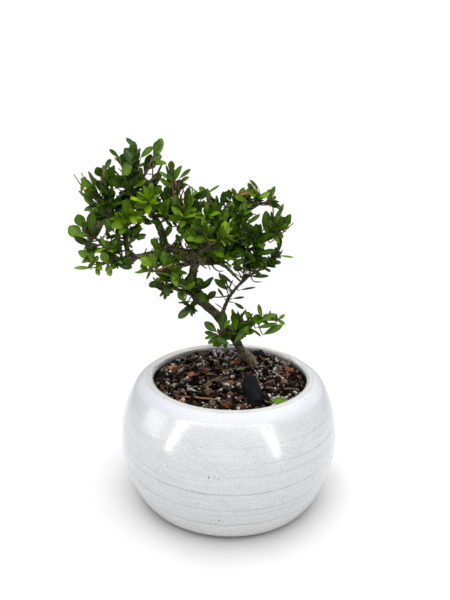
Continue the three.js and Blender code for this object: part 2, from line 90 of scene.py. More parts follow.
# ---------------------------------------------------------------- wood
# The limbs of the CAD model: stations [x, y, z, radius] that a smooth curve runs through.
LIMBS = {
    "trunk": [
        (18, 27, 46, 4.3), (17.5, 26.5, 58, 4.8), (16.5, 25, 69, 4.4), (9.5, 24, 78, 3.9),
        (3.5, 23, 86.5, 3.7), (-3, 20, 94.5, 3.5), (-9, 16, 103.5, 3.4), (-15, 12.5, 110, 3.3),
        (-20, 9, 115.5, 3.2), (-22.5, 6, 124, 3.0), (-21.5, 3, 133, 3.2), (-19, 1, 141, 3.0),
    ],
    "leader": [
        (-19, 1, 141, 3.0), (-28, 0, 144, 2.6), (-36.5, 0, 147, 2.4), (-38.5, 0.5, 154, 2.2),
        (-43, 3, 162.5, 1.9), (-50.5, 5, 168.5, 1.5), (-55.5, 7, 177, 0.9),
    ],
    "burl": [(-30, 1, 143.5, 1.6), (-23, 0, 141, 3.9), (-13, 0, 140.5, 3.6), (-5, 0, 138, 1.5)],
    "left_arm": [
        (-33, 0, 146, 1.8), (-43.5, -3, 143, 1.8), (-52, -6, 142, 1.6), (-60, -9, 141, 1.3),
        (-70, -12, 139, 0.8),
    ],
    "left_riser": [
        (-55.5, -7, 141.5, 1.5), (-57, -5, 150, 1.5), (-58.5, -2, 157, 1.3), (-63, 1, 163, 1.1),
        (-70, 3, 168, 0.7),
    ],
    "left_tip": [(-60, -9, 141, 1.1), (-68, -7, 147, 0.9), (-71.5, -5, 150.5, 0.7)],
    "top_arm": [(-19, 1, 141, 2.2), (-22, 3, 150, 2.0), (-26, 5, 158, 1.6), (-31, 8, 167, 1.0)],
    "mid_arm": [(-22, 3, 150, 1.5), (-15, 6, 159, 1.3), (-8, 8, 165, 0.8)],
    "right_arm": [
        (-19, 1, 141, 2.2), (-11, 4, 147, 2.1), (-3, 6, 155, 1.8), (4, 8, 163, 1.4),
        (12, 10, 168.5, 1.0), (16.5, 10, 170, 0.6),
    ],
    "right_low": [
        (-11, 4, 147, 1.6), (0, 8, 143.5, 1.4), (11, 12, 144, 1.2), (19.5, 14, 149.5, 1.0),
        (25, 15, 153, 0.6),
    ],
    "crook": [
        (-6.5, 17.5, 100, 1.9), (-1, 20, 113.5, 1.5), (8, 21, 124, 1.3), (16, 22, 129.5, 1.0),
        (21, 22, 135, 0.6),
    ],
    "cross_twig": [(-8, 1, 139, 1.2), (-3, 0, 135.5, 1.0), (4, -2, 129, 0.6)],
    "front_arm": [(-19, 1, 141, 1.8), (-17, -7, 146, 1.4), (-12, -14, 151, 0.9)],
    "front_left": [(-21, 2, 138, 1.5), (-31, -7, 137, 1.2), (-42, -13, 136, 0.7)],
    "low_left": [(-21.5, 8, 118, 1.5), (-28, 0, 122, 1.1), (-38, -8, 128, 0.6)],
    "foot_right": [(3, 23, 87, 1.8), (9, 19, 95, 1.5), (16, 15, 100, 1.1), (21, 12.5, 102, 0.6)],
    "nub": [(-45, -3.5, 143, 1.2), (-46, -4.5, 139.5, 0.9)],
    "root_right": [(15, 26, 70, 3.2), (21, 23.5, 66.5, 2.2), (28, 17, 58, 1.4), (31, 12, 47, 0.8)],
    "root_left": [(15, 26, 66, 3.0), (8, 27, 60, 2.0), (-3, 27, 50, 1.3), (-10, 22, 40, 0.8)],
    "root_front": [(18, 25, 58, 3.0), (16, 15, 50, 1.9), (10, 3, 42, 1.2), (6, -8, 34, 0.8)],
    "root_down": [(18, 27, 48, 3.6), (17, 26, 36, 2.2), (12, 22, 25, 1.1)],
}
BARK_RELIEF = 0.09
BARK_VOXEL = 0.42
RINGS_PER_STATION = 8
# How thick a limb's core is, as a share of the CAD limb: the bark's lumps add the rest.
SLIMNESS = {"trunk": 0.74, "crook": 0.72, "leader": 0.9, "root_right": 0.5, "root_left": 0.5}
# Between these heights the visible trunk bows a little further left than the CAD trunk.
BOWED_LIMBS = ("trunk", "root_right", "root_left")
BOW_HEIGHTS = (56, 92)
BOW = 2.7
TAN_AND_HIGHLIGHT_FROM_TO = (90, 68)  # between these heights the trunk's bark gets tan towards the soil: partly worn bark, partly a painted highlight
BURL_Z = 140

# ---------------------------------------------------------------- foliage
# The sprigs of the CAD model, by limb: station where the twig leaves it, bearing and rise of the
# twig in degrees, twig length, leaf count, leaf length, tone (0 old and dark, 1 young and bright).
SPRIG_GROUPS = [
    ("leader", [
        (6.0, 320, 82, 11, 11, 14, 0.35), (5.6, 8, 56, 18, 9, 12, 0.5), (4.9, 205, 52, 12, 10, 12, 0.3),
        (4.8, 62, 58, 9, 10, 11, 0.2), (4.5, 286, 30, 9, 10, 13, 0.9), (0.8, 245, 50, 5, 6, 10, 0.15),
    ]),
    ("left_riser", [
        (4.0, 340, 76, 11, 10, 12, 0.3), (3.5, 215, 52, 10, 10, 12, 0.4), (3.2, 276, 66, 8, 10, 11, 0.15),
        (2.6, 205, 16, 8, 10, 12, 0.5), (2.0, 305, 36, 11, 11, 12, 0.8), (1.2, 200, 10, 7, 9, 10, 0.15),
        (1.6, 335, -12, 5, 5, 10, 0.1),
    ]),
    ("left_tip", [(2.0, 196, 34, 4, 9, 14, 0.25), (1.3, 215, -2, 6, 9, 11, 0.2)]),
    ("left_arm", [
        (3.8, 215, 20, 5, 11, 10, 0.8), (3.3, 300, -8, 5, 6, 10, 0.15), (2.8, 190, 62, 6, 8, 10, 0.2),
    ]),
    ("top_arm", [
        (3.0, 150, 74, 12, 10, 12, 0.35), (2.8, 30, 22, 9, 9, 12, 0.4), (2.2, 190, 40, 9, 10, 12, 0.15),
        (2.0, 268, 26, 10, 11, 12, 0.55),
    ]),
    ("mid_arm", [(2.0, 60, 62, 6, 10, 10, 0.15), (1.0, 275, 22, 9, 11, 12, 0.7)]),
    ("right_arm", [
        (4.0, 285, 60, 4, 8, 9, 0.95), (3.0, 95, 52, 7, 10, 11, 0.2), (5.0, 345, 8, 3, 8, 9, 0.3),
        (2.4, 300, 30, 9, 10, 11, 0.3), (1.2, 272, 42, 7, 10, 11, 0.2),
    ]),
    ("right_low", [
        (2.3, 275, 64, 7, 9, 13, 0.3), (3.2, 285, 66, 6, 7, 16, 0.5), (4.0, 15, 40, 4, 9, 10, 0.4),
        (1.8, 305, -38, 7, 8, 11, 0.1), (1.0, 262, 44, 9, 11, 12, 0.3),
    ]),
    ("crook", [
        (4.0, 350, 38, 4, 8, 12, 0.4), (2.9, 325, 28, 6, 8, 11, 0.4), (2.3, 272, 56, 8, 9, 11, 0.3),
        (1.2, 215, 50, 6, 5, 11, 0.3),
    ]),
    ("front_arm", [(2.0, 215, 58, 8, 11, 12, 0.5), (1.8, 330, 35, 6, 10, 12, 0.9)]),
    ("front_left", [(2.0, 232, 14, 4, 9, 11, 0.8), (1.2, 190, 60, 8, 9, 12, 0.5)]),
    ("low_left", [(1.5, 240, -20, 4, 8, 9, 0.15), (1.2, 258, 40, 9, 10, 14, 0.8)]),
    ("trunk", [(7.6, 232, -18, 4, 8, 11, 0.15), (8.3, 295, 34, 7, 9, 12, 0.15)]),
    ("foot_right", [(2.7, 325, 10, 5, 9, 10, 0.8), (1.7, 310, 24, 7, 9, 11, 0.6)]),
    ("trunk", [(3.9, 275, 38, 8, 10, 13, 0.3), (4.3, 222, -16, 5, 10, 12, 0.3)]),
]
Sprig = namedtuple("Sprig", "limb station bearing rise length leaves leaf_length tone")
SPRIGS = [Sprig(limb, *row) for limb, rows in SPRIG_GROUPS for row in rows]
GAP = 0.3
TWIG_RADIUS = 0.6
LEAF_THICKNESS = 0.3
LEAF_WIDTH_SHARE = 0.46
GOLDEN_ANGLE = 2.39996
LEAF_TRIES = 8
MATCH = 0.05  # how close a CAD corner must be to where it is expected
EXTRA_LEAVES = 7  # small leaves added to each sprig
LEAF_SWING = 0.30  # how far, in radians, a leaf's blade leans from its CAD blade
LEAF_ROLL = 0.6

# Gaps in the crown that show the background: middle x and z, half width and half height, on the
# plane y = 0 as seen from the camera.
WINDOWS = [
    (-43.4, 155, 4.1, 3.9), (-48.5, 146.7, 5.8, 4.5), (-59, 147.6, 1.8, 6.1), (-31.1, 149.5, 5.2, 5.8),
    (-73, 148, 2.8, 2.2), (-67.2, 151.6, 1.5, 3.0), (-13.7, 133.5, 5.2, 4.0), (-1.4, 120.6, 8.9, 9.4),
    (16.5, 168, 5.5, 1.8), (12, 161, 4.5, 3.6), (-34, 155, 3.0, 4.0), (22, 150, 2.0, 3.0),
    (-19.5, 140.5, 6.5, 2.4),
]
# The crown's outline on the same plane, x and z, clockwise from the far left.
CROWN = [
    (-90, 157), (-86, 164), (-81, 166), (-80, 175), (-83, 185), (-74, 188), (-68, 191), (-65, 197),
    (-56, 204), (-49, 200), (-44, 199), (-38, 205), (-34, 196), (-27, 192), (-21, 187), (-18, 181),
    (-10, 179), (-6, 174), (-3, 178), (4, 177), (8, 183), (13, 178), (21, 181), (21, 172), (26, 171),
    (31, 165), (27, 158), (26, 146), (27, 140), (20, 130), (12, 127), (4, 131), (-8, 127), (-9, 120),
    (-13, 115), (-27, 112), (-32, 120), (-44, 123), (-44, 129), (-49, 138), (-60, 134), (-66, 131),
    (-85, 133), (-80, 147), (-88, 152),
]
# The outline of the low foliage round the foot of the trunk, seen in the same way.
LOW_CROWN = [
    (-16, 105), (-11, 107), (-9, 100), (-7, 111), (-1, 112), (3, 113), (10, 112), (13, 108), (15, 116),
    (17, 109), (25, 109.5), (24, 106), (22.5, 104.5), (29, 103.5), (27, 98), (19, 95), (16, 93),
    (9, 97), (10, 88), (-2, 88), (-9, 89), (-16, 92),
]
SHRUNK_LEAF = 0.62  # what is left of a CAD leaf that would stick out of the crown
# Limbs that carry side shoots all along: how far apart, in millimetres, their length and the
# length and tone of their leaves.
LIMB_SHOOTS = {
    "leader": (2.6, 7, 9.5, 0.30), "left_arm": (3.6, 5, 8.5, 0.35), "left_riser": (2.2, 6, 9.0, 0.35),
    "left_tip": (3.0, 5, 9.0, 0.35), "top_arm": (2.2, 7, 9.5, 0.35), "mid_arm": (2.2, 7, 9.0, 0.35),
    "right_arm": (2.2, 7, 9.5, 0.35), "right_low": (2.6, 7, 10.0, 0.35), "crook": (6.0, 5, 9.5, 0.35),
    "front_arm": (2.4, 7, 10.0, 0.5), "front_left": (2.6, 6, 9.5, 0.5), "low_left": (3.2, 5, 9.0, 0.4),
    "burl": (2.0, 6, 8.5, 0.2), "foot_right": (6.0, 5, 9.5, 0.45),
}
# Single leaves that stand out from the crown, by where they grow. Each row is the leaf's base and
# tip (x and z of where the camera sees them on the plane y = 0), its width and its tone; the tone
# also holds painted light and shade of that leaf.
STANDOUT_LEAVES = {
    "leader_top": [
        (-50, 197, -56, 203, 2.6, 0.3), (-60, 193, -65, 197, 2.2, 0.25), (-50, 188, -57, 198, 6.6, 0.25),
        (-58, 187, -58, 195, 4.8, 0.2), (-49, 193, -43, 199, 4.0, 0.35), (-42, 195, -39, 202, 4.4, 0.4),
        (-43, 192, -38, 194, 4.0, 0.4), (-70, 183, -72, 188, 4.6, 0.35), (-68, 187, -64, 192, 3.0, 0.3),
        (-63, 182, -66, 188, 4.8, 0.3), (-81, 174, -78, 183, 2.6, 0.95), (-31, 181, -35, 186, 3.2, 0.3),
        (-53, 179, -48, 188, 5.2, 0.3), (-44, 175, -38, 179, 3.6, 0.35), (-75, 170, -78, 176, 4.0, 0.6),
    ],
    "top_right": [
        (-33, 186, -33, 192, 3.6, 0.45), (-29, 183, -23, 188, 2.2, 0.3), (-29, 181, -24, 184, 2.2, 0.35),
        (-15, 175, -8, 180, 1.4, 0.5), (-26, 181, -19, 175, 0.9, 0.3), (-41, 184, -38, 190, 1.2, 0.25),
        (-18, 172, -15, 177, 3.6, 0.3), (-31, 165, -31, 175, 5.4, 0.35), (-31, 166, -31, 170, 4.2, 0.85),
    ],
    "middle": [
        (-57, 160, -56, 170, 4.2, 0.75), (-56, 160, -47, 166, 3.8, 0.8), (-55, 160, -48, 162, 3.4, 0.7),
        (-58, 160, -66, 161, 3.4, 1.0), (-49, 169, -44, 176, 3.8, 0.8), (-48, 169, -39, 176, 4.0, 0.85),
        (-53, 178, -46, 182, 2.6, 0.7), (-25, 153, -30, 157, 3.8, 0.85), (-16, 157, -20, 158, 3.2, 0.95),
        (-20, 153, -9, 157, 3.4, 0.8), (-14, 161, -10, 165, 5.0, 0.8), (-22, 164, -14, 160, 3.8, 0.85),
        (-4, 169, -7, 161, 3.8, 0.5), (-37, 152, -33, 158, 3.6, 0.3), (-30, 151, -22, 155, 3.6, 0.6),
    ],
    "left_arm": [
        (-81, 156, -83, 163, 5.8, 0.45), (-82, 150, -88, 157, 7.0, 0.55), (-76, 139, -84, 143, 4.2, 0.6),
        (-77, 134, -87, 134, 2.2, 0.8), (-68, 136, -71, 143, 4.6, 0.6), (-68, 135, -67, 130, 3.6, 0.7),
        (-75, 134, -73, 130, 2.6, 0.75), (-63, 136, -55, 135, 4.0, 0.25), (-77, 137, -78, 142, 4.0, 0.9),
        (-77, 154, -75, 165, 5.0, 0.35), (-72, 167, -82, 176, 2.0, 0.35), (-69, 153, -64, 159, 4.0, 0.25),
        (-64, 154, -68, 161, 4.2, 0.3), (-50, 162, -44, 159, 3.6, 0.2), (-52, 158, -47, 163, 3.2, 0.25),
    ],
    "low_left": [
        (-44, 133, -54, 132, 1.4, 0.7), (-40, 127, -46, 124, 3.8, 0.2), (-30, 126, -30, 136, 5.4, 0.85),
        (-28, 123, -20, 127, 4.6, 0.85), (-26, 116, -30, 121, 4.0, 0.85), (-21, 114, -30, 106, 4.8, 0.45),
        (-22, 116, -30, 115, 1.3, 0.35), (-38, 124, -35, 119, 4.6, 0.2), (-44, 136, -50, 140, 5.2, 0.8),
        (-42, 137, -45, 143, 4.4, 0.75), (-37, 136, -38, 144, 4.2, 0.4),
    ],
    "right_arm": [
        (13, 178, 8, 183, 1.8, 0.35), (19, 173, 21, 180, 2.4, 0.45), (23, 162, 26, 171, 2.2, 0.5),
        (18, 154, 17, 167, 5.4, 0.35), (26, 159, 30, 164, 4.6, 0.4), (25, 145, 25, 154, 3.2, 0.3),
        (25, 143, 33, 142, 1.3, 0.65), (14, 149, 12, 160, 4.2, 0.3), (6, 159, 14, 165, 2.4, 0.35),
        (12, 143, 23, 146, 3.2, 0.3), (10, 131, 20, 131, 2.6, 0.45), (6, 135, 0, 136, 4.0, 0.35),
        (15, 135, 13, 142, 3.6, 0.45), (-1, 137, 6, 140, 3.6, 0.3), (-2, 172, -3, 178, 3.2, 0.35),
        (-6, 171, -4, 177, 3.2, 0.3), (2, 172, 5, 179, 3.2, 0.5), (2, 175, 8, 177, 2.0, 1.3),
        (1, 174, -1, 178, 2.6, 1.2),
    ],
    "crook": [
        (-2, 123, -10, 129, 4.2, 0.35), (1, 126, -6, 132, 1.8, 0.3), (4, 123, 13, 125, 1.3, 0.35),
        (0, 118, 7, 119, 1.5, 0.3), (1, 116, 7, 112, 2.2, 0.35), (-4, 118, -8, 124, 1.5, 0.3),
        (-13, 114, -16, 121, 4.2, 0.25), (-14, 117, -9, 122, 4.0, 0.3), (4, 105, 8, 112, 1.5, 0.3),
        (8, 104, 12, 110, 1.4, 0.35), (2, 106, 0, 112, 2.2, 0.8), (5, 104, 12, 104, 3.0, 0.3),
    ],
    "foot_right": [
        (17, 106, 15, 115, 2.6, 0.5), (17, 106, 25, 109, 3.8, 0.5), (14, 101, 26, 104, 2.8, 0.4),
        (18, 97, 29, 103, 4.0, 0.45), (11, 101, 17, 96, 1.6, 0.4),
    ],
    "trunk": [
        (2, 92, 10, 102, 5.0, 0.45), (-1, 91, -9, 95, 4.6, 0.3), (-8, 98, -15, 104, 4.6, 0.35),
        (-8, 96, -15, 98, 2.8, 0.35), (-9, 96, -15, 94, 2.0, 0.5), (-8, 95, -13, 91, 2.8, 0.35),
        (-6, 99, -4, 110, 5.2, 0.25), (-5, 100, -1, 105, 2.6, 0.7), (1, 100, 3, 106, 4.0, 0.5),
    ],
}
# How much further towards the camera some groups stand, in millimetres.
FORWARD = {"trunk": 12, "foot_right": 6}
SHORTEST_LEAF = 7.5  # a leaf that looks shorter than this points towards the camera
# Thin bare shoots, by the limb they grow on: how red they are, and where each starts and ends, seen
# in the same way.
BARE_SHOOTS = {
    "leader": (0.9, [
        (-75, 171, -84, 184), (-75, 173, -80, 185), (-43, 183, -42, 199), (-50, 171, -67, 181),
        (-71, 173, -68, 187), (-52, 177, -50, 188), (-32, 172, -33, 187), (-27, 170, -31, 182),
    ]),
    "low_left": (0.6, [(-27, 124, -46, 135), (-33, 131, -44, 133), (-44, 133, -33, 137)]),
    "right_arm": (0.7, [(-16, 155, -8, 159), (16, 171, 21, 177), (14, 170, 23, 171), (3, 171, 10, 178)]),
    "right_low": (0.15, [(20, 150, 32, 161), (14, 134, 27, 146), (-1, 141, 12, 131)]),
    "crook": (0.3, [(12, 128, 16, 128), (-6, 113, -9, 115), (6, 106, 10, 101), (4, 108, 8, 102)]),
}


# ================================================================ helpers


def frac_noise(a, b):
    """The CAD model's repeatable number from 0 to 1 for a pair of whole numbers."""
    s = math.sin(a * 12.9898 + b * 78.233) * 43758.5453
    return s - math.floor(s)


def lerp(a, b, t):
    return a + (b - a) * t


def smooth(t):
    t = min(max(t, 0.0), 1.0)
    return t * t * (3 - 2 * t)


def heading(bearing, rise):
    """The unit vector with this bearing from +X and this rise above level, in degrees."""
    b = math.radians(bearing)
    r = math.radians(rise)
    return Vector((math.cos(b) * math.cos(r), math.sin(b) * math.cos(r), math.sin(r)))


def orthogonal(v, axis):
    """The part of v across the axis, one long."""
    return (v - axis * v.dot(axis)).normalized()


def circle(sides):
    """Cosine and sine of equally spaced bearings, all the way round."""
    return [(math.cos(2 * math.pi * k / sides), math.sin(2 * math.pi * k / sides)) for k in range(sides)]


def turned_faces(rings, sides):
    """Faces of a closed turned body: a first point, `rings` rings of `sides` points and a last point."""
    faces = []
    top = 1 + (rings - 1) * sides
    for n in range(sides):
        m = (n + 1) % sides
        faces.append((0, 1 + m, 1 + n))
        for a in range(1, top, sides):
            faces.append((a + n, a + m, a + sides + m, a + sides + n))
        faces.append((top + n, top + m, top + sides))
    return faces


def mesh_object(name, points, faces, smooth_faces=True, **attributes):
    """A new object from points in millimetres, with a float attribute per point for each keyword."""
    mesh = bpy.data.meshes.new(name)
    mesh.from_pydata([tuple(c * MM for c in p) for p in points], [], faces)
    for key, values in attributes.items():
        mesh.attributes.new(key, "FLOAT", "POINT").data.foreach_set("value", values)
    mesh.polygons.foreach_set("use_smooth", [smooth_faces] * len(mesh.polygons))
    mesh.update()
    obj = bpy.data.objects.new(name, mesh)
    bpy.context.scene.collection.objects.link(obj)
    return obj


def place(obj, slot, *nodes):
    """Ties a piece to the frame: its body and the CAD nodes it stands for, which it hides. `slot`, its
    material slot, is not used.
    """
    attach(obj, BODY)
    if nodes:
        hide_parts(*nodes)


def apply_modifiers(obj):
    """Puts the mesh that the object's modifiers make in the place of its own."""
    graph = bpy.context.evaluated_depsgraph_get()
    mesh = bpy.data.meshes.new_from_object(obj.evaluated_get(graph))
    old = obj.data
    name = old.name
    obj.modifiers.clear()
    obj.data = mesh
    bpy.data.meshes.remove(old)
    mesh.name = name


class Shader:
    """A material built node by node around one Principled shader."""

    def __init__(self, name, roughness, **sockets):
        self.material = bpy.data.materials.new(name)
        self.material.use_nodes = True
        self.tree = self.material.node_tree
        self.bsdf = self.tree.nodes["Principled BSDF"]
        self.bsdf.inputs["Roughness"].default_value = roughness
        for key, value in sockets.items():
            self.bsdf.inputs[key.replace("_", " ")].default_value = value
        self.place = self.node("ShaderNodeTexCoord").outputs["Object"]
        self.base = None

    def node(self, kind, inputs=None, **settings):
        """A new node, with its inputs linked to sockets or set to numbers, vectors or colours."""
        made = self.tree.nodes.new(kind)
        for key, value in settings.items():
            setattr(made, key, value)
        for key, value in (inputs or {}).items():
            socket = made.inputs[key]
            if isinstance(value, bpy.types.NodeSocket):
                self.tree.links.new(value, socket)
            else:
                socket.default_value = (*value, 1.0) if socket.type == "RGBA" else value
        return made

    def noise(self, size, detail=3.0, rough=0.55, stretch=(1, 1, 1)):
        """Noise with features about `size` millimetres across, from 0 to 1."""
        mapping = self.node("ShaderNodeMapping", {"Vector": self.place, "Scale": stretch})
        inputs = {"Vector": mapping.outputs[0], "Scale": 1 / (size * MM), "Detail": detail}
        return self.node("ShaderNodeTexNoise", {**inputs, "Roughness": rough}).outputs["Fac"]

    def attribute(self, name):
        return self.node("ShaderNodeAttribute", attribute_name=name).outputs["Fac"]

    def height(self):
        return self.node("ShaderNodeSeparateXYZ", {"Vector": self.place}).outputs["Z"]

    def math(self, operation, a, b=0.0):
        return self.node("ShaderNodeMath", {0: a, 1: b}, operation=operation).outputs[0]

    def between(self, value, low, high, to_low=0.0, to_high=1.0):
        """Where `value` is from low to high, as a share of the way, and held at the two ends."""
        inputs = {"Value": value, "From Min": low, "From Max": high, "To Min": to_low, "To Max": to_high}
        return self.node("ShaderNodeMapRange", inputs).outputs["Result"]

    def ramp(self, value, stops):
        """The colour for a value from 0 to 1, blended between (position, colour) stops."""
        made = self.node("ShaderNodeValToRGB", {"Fac": value})
        elements = made.color_ramp.elements
        while len(elements) < len(stops):
            elements.new(0.5)
        for element, (position, color) in zip(elements, stops):
            element.position = position
            element.color = (*color, 1.0)
        return made.outputs["Color"]

    def times(self, a, b):
        return self.math("MULTIPLY", a, b)

    def distance(self, a, b):
        return self.math("ABSOLUTE", self.math("SUBTRACT", a, b))

    def paint(self, share, color):
        """Covers the base colour so far with another colour, by a share from 0 to 1."""
        made = self.node("ShaderNodeMix", {0: share, 6: self.base, 7: color}, data_type="RGBA")
        self.base = made.outputs[2]

    def drive(self, target, socket):
        """Lets a socket decide one input of the Principled shader."""
        self.tree.links.new(socket, self.bsdf.inputs[target])

    def bump(self, height, depth, strength=1.0):
        """Relief of `depth` millimetres from a height of 0 to 1, over any relief added before."""
        inputs = {"Height": height, "Distance": depth * MM, "Strength": strength}
        before = self.bsdf.inputs["Normal"].links
        if before:
            inputs["Normal"] = before[0].from_socket
        self.drive("Normal", self.node("ShaderNodeBump", inputs).outputs["Normal"])

    def done(self):
        """The finished material."""
        self.drive("Base Color", self.base)
        return self.material


# ================================================================ camera and studio


def aim(obj, target):
    direction = Vector(target) - obj.location
    obj.rotation_euler = direction.to_track_quat("-Z", "Y").to_euler()


# Each soft light: bearing from the front (towards +X), rise, distance, width, height, lean and
# radiance. What shows in the glaze are the cards below.
LIGHTS = {
    "overhead_softbox": (0, 89, 1.3, 2.0, 2.0, 0, 3.85),
    "front_softbox": (0, 38, 1.3, 2.2, 0.5, 0, 0.95),
}
# Cards that only shine in glossy surfaces, described in the same way.
REFLECTED_CARDS = {
    "top_card": (0, 89, 1.3, 2.0, 2.0, 0, 1.3),
    "front_card": (-8, 41, 1.3, 3.0, 0.62, 0, 1.9),
    "left_window": (-86, 12, 1.3, 0.60, 0.66, 0, 2.6),
    "left_strip": (-54, 21, 1.1, 0.07, 1.15, -16, 18.0),
    "right_strip": (44, 19, 1.1, 0.07, 1.0, 12, 18.0),
}
LIT_POINT = Vector((0, -0.04, 0.06))


def area_light(name, bearing, rise, distance, width, height, lean, radiance):
    light = bpy.data.lights.new(name, "AREA")
    light.shape = "RECTANGLE"
    light.size = width
    light.size_y = height
    light.energy = radiance * math.pi * width * height
    obj = bpy.data.objects.new(name, light)
    obj.location = LIT_POINT + heading(bearing - 90, rise) * distance
    bpy.context.scene.collection.objects.link(obj)
    aim(obj, LIT_POINT)
    obj.rotation_euler.rotate_axis("Z", math.radians(lean))
    return obj


def build_studio():
    scene = bpy.context.scene
    camera = bpy.data.cameras.new("camera")
    camera.lens = CAMERA_LENS
    camera.sensor_width = 36.0
    camera.clip_start = 0.01
    eye = bpy.data.objects.new("camera", camera)
    scene.collection.objects.link(eye)
    tilt = Matrix.Rotation(math.radians(90 - CAMERA_PITCH), 4, "X")
    roll = Matrix.Rotation(math.radians(CAMERA_ROLL), 4, "Z")
    place_at = Matrix.Translation([c * MM for c in CAMERA_PLACE])
    eye.matrix_world = place_at @ tilt @ roll
    scene.camera = eye

    world = bpy.data.worlds.new("studio")
    world.use_nodes = True
    tree = world.node_tree
    background = tree.nodes["Background"]
    background.inputs["Color"].default_value = (1.0, 1.0, 1.0, 1.0)
    seen = tree.nodes.new("ShaderNodeLightPath").outputs["Is Camera Ray"]
    strength = tree.nodes.new("ShaderNodeMapRange")
    strength.inputs["To Min"].default_value = WORLD_STRENGTH
    strength.inputs["To Max"].default_value = BACKDROP_STRENGTH
    tree.links.new(seen, strength.inputs["Value"])
    tree.links.new(strength.outputs["Result"], background.inputs["Strength"])
    scene.world = world
    scene.view_settings.view_transform = "Standard"

    for name, settings in LIGHTS.items():
        area_light(name, *settings).visible_glossy = False
    for name, settings in REFLECTED_CARDS.items():
        area_light(name, *settings).visible_diffuse = False
    build_floor()


def build_floor():
    """A pale round floor that fades into the white backdrop."""
    ring = [heading(360 * k / FLOOR_SIDES, 0) * FLOOR_RADIUS for k in range(FLOOR_SIDES)]
    floor = mesh_object("floor", ring, [tuple(range(FLOOR_SIDES))])
    shader = Shader("studio_floor", 0.9, Specular_IOR_Level=0.0)
    shader.base = shader.ramp(shader.noise(60), [(0.3, (0.58, 0.58, 0.58)), (0.7, (0.61, 0.61, 0.61))])
    away = shader.node("ShaderNodeVectorMath", {0: shader.place}, operation="LENGTH").outputs["Value"]
    faded = shader.between(away, FLOOR_FADE * MM, FLOOR_RADIUS * MM, 1.0, 0.0)
    shader.drive("Alpha", faded)
    floor.data.materials.append(shader.done())


# ================================================================ pot


def ball_radius(z, radius):
    """How far from the axis a ball round the bowl's centre reaches at a height."""
    return math.sqrt(max(radius * radius - (z - BOWL_CENTRE_Z) ** 2, 0.0))


# Height, depth and half width of the grooves that the potter's fingers left.
GROOVES = [
    (33.0, 0.13, 0.45), (25.3, 0.12, 0.40), (58.0, 0.07, 0.60), (51.0, 0.10, 0.50), (36.1, 0.12, 0.45),
    (21.0, 0.08, 0.40), (47.5, 0.10, 0.40), (39.9, 0.07, 0.45), (63.2, 0.05, 0.60), (54.1, 0.08, 0.50),
    (44.7, 0.07, 0.40), (25.9, 0.08, 0.40), (28.0, 0.06, 0.40), (30.6, 0.06, 0.40), (17.8, 0.07, 0.35),
]
DEEPEST_GROOVE = 0.13
LIP_LINE = 0.65  # how strong the thin line just outside the lip is


def groove_at(z, angle):
    """Depth of the throwing grooves at a height and a bearing, in millimetres."""
    depth = 0.0
    for n, (height, deep, wide) in enumerate(GROOVES):
        drift = 0.7 * math.sin(angle + 1.7 * n) + 0.35 * math.sin(3 * angle + 2.3 * n)
        fade = 0.6 + 0.4 * math.sin(angle * (1 + n % 2) + 0.9 * n)
        depth += deep * fade * math.exp(-(((z - height - drift) / wide) ** 2))
    return depth


def pot_profile():
    """Radius and height of the pot's section, from the middle of the base round to the floor inside."""
    profile = [
        (0, 0), (12, 0), (30, 0), (FOOT_RADIUS - 2.4, 0), (FOOT_RADIUS - 0.9, 0.2),
        (FOOT_RADIUS + 0.6, 0.75), (FOOT_RADIUS + 1.9, 1.6), (FOOT_RADIUS + 3.2, 2.8),
    ]
    z, last_z, step = ROUND_BODY
    while z < last_z:
        profile.append((ball_radius(z, BOWL_RADIUS), z))
        z += step
    profile += [
        (52.7, 69.65), (51.3, 70.75), (50.0, 71.6), (48.8, 72.25), (47.6, 72.8), (46.0, LIP_Z),
        (45.4, 73.1), (45.0, 72.98), (44.6, 72.75), (44.2, 72.4), (MOUTH_RADIUS, 71.6),
        (43.9, 70.4), (44.3, 69.2), (44.9, 68.0), (46.7, 65.5), (48.6, 63.0),
    ]
    profile += [(ball_radius(z, INNER_RADIUS), z) for z in (59, 55, 50, 46, 41, 36.7, 32, 27, 22, 17, 13, 9)]
    profile += [(46, FLOOR_THICKNESS + 0.6)]
    return profile + [(radius, FLOOR_THICKNESS) for radius in (43, 20, 0)]


def build_pot():
    profile = pot_profile()
    first_z, last_z = GROOVED_FROM_TO
    lip_index = max(range(len(profile)), key=lambda k: profile[k][1])
    points = [(0, 0, profile[0][1])]
    groove = [0.0]
    inside = [0.0]
    edge = [0.0]
    for k, (radius, z) in enumerate(profile[1:-1], 1):
        for n in range(POT_SIDES):
            angle = 2 * math.pi * n / POT_SIDES
            depth = groove_at(z, angle) if k < lip_index and first_z < z < last_z else 0.0
            wobble = 0.25 * math.sin(2 * angle + 0.5) * smooth(z / 20) if z > 0.5 else 0.0
            r = radius - depth + (wobble if radius > 40 else 0.0)
            points.append((r * math.cos(angle), r * math.sin(angle), z))
            groove.append(LIP_LINE if k == lip_index - 1 else min(depth / DEEPEST_GROOVE, 1.0))
            inside.append(float(k > lip_index))
            edge.append(float(k in (lip_index, lip_index + 1)))
    points.append((0, 0, profile[-1][1]))
    groove.append(0.0)
    inside.append(1.0)
    edge.append(0.0)
    faces = turned_faces(len(profile) - 2, POT_SIDES)
    pot = mesh_object("glazed_bowl", points, faces, groove=groove, inside=inside, edge=edge)
    for n in range(DRAIN_HOLES):
        angle = 2 * math.pi * (n + 0.25) / DRAIN_HOLES
        drill(pot, DRAIN_RING_RADIUS * math.cos(angle), DRAIN_RING_RADIUS * math.sin(angle))
    pot.data.materials.append(glaze())
    place(pot, "glazed_pot", "pot")


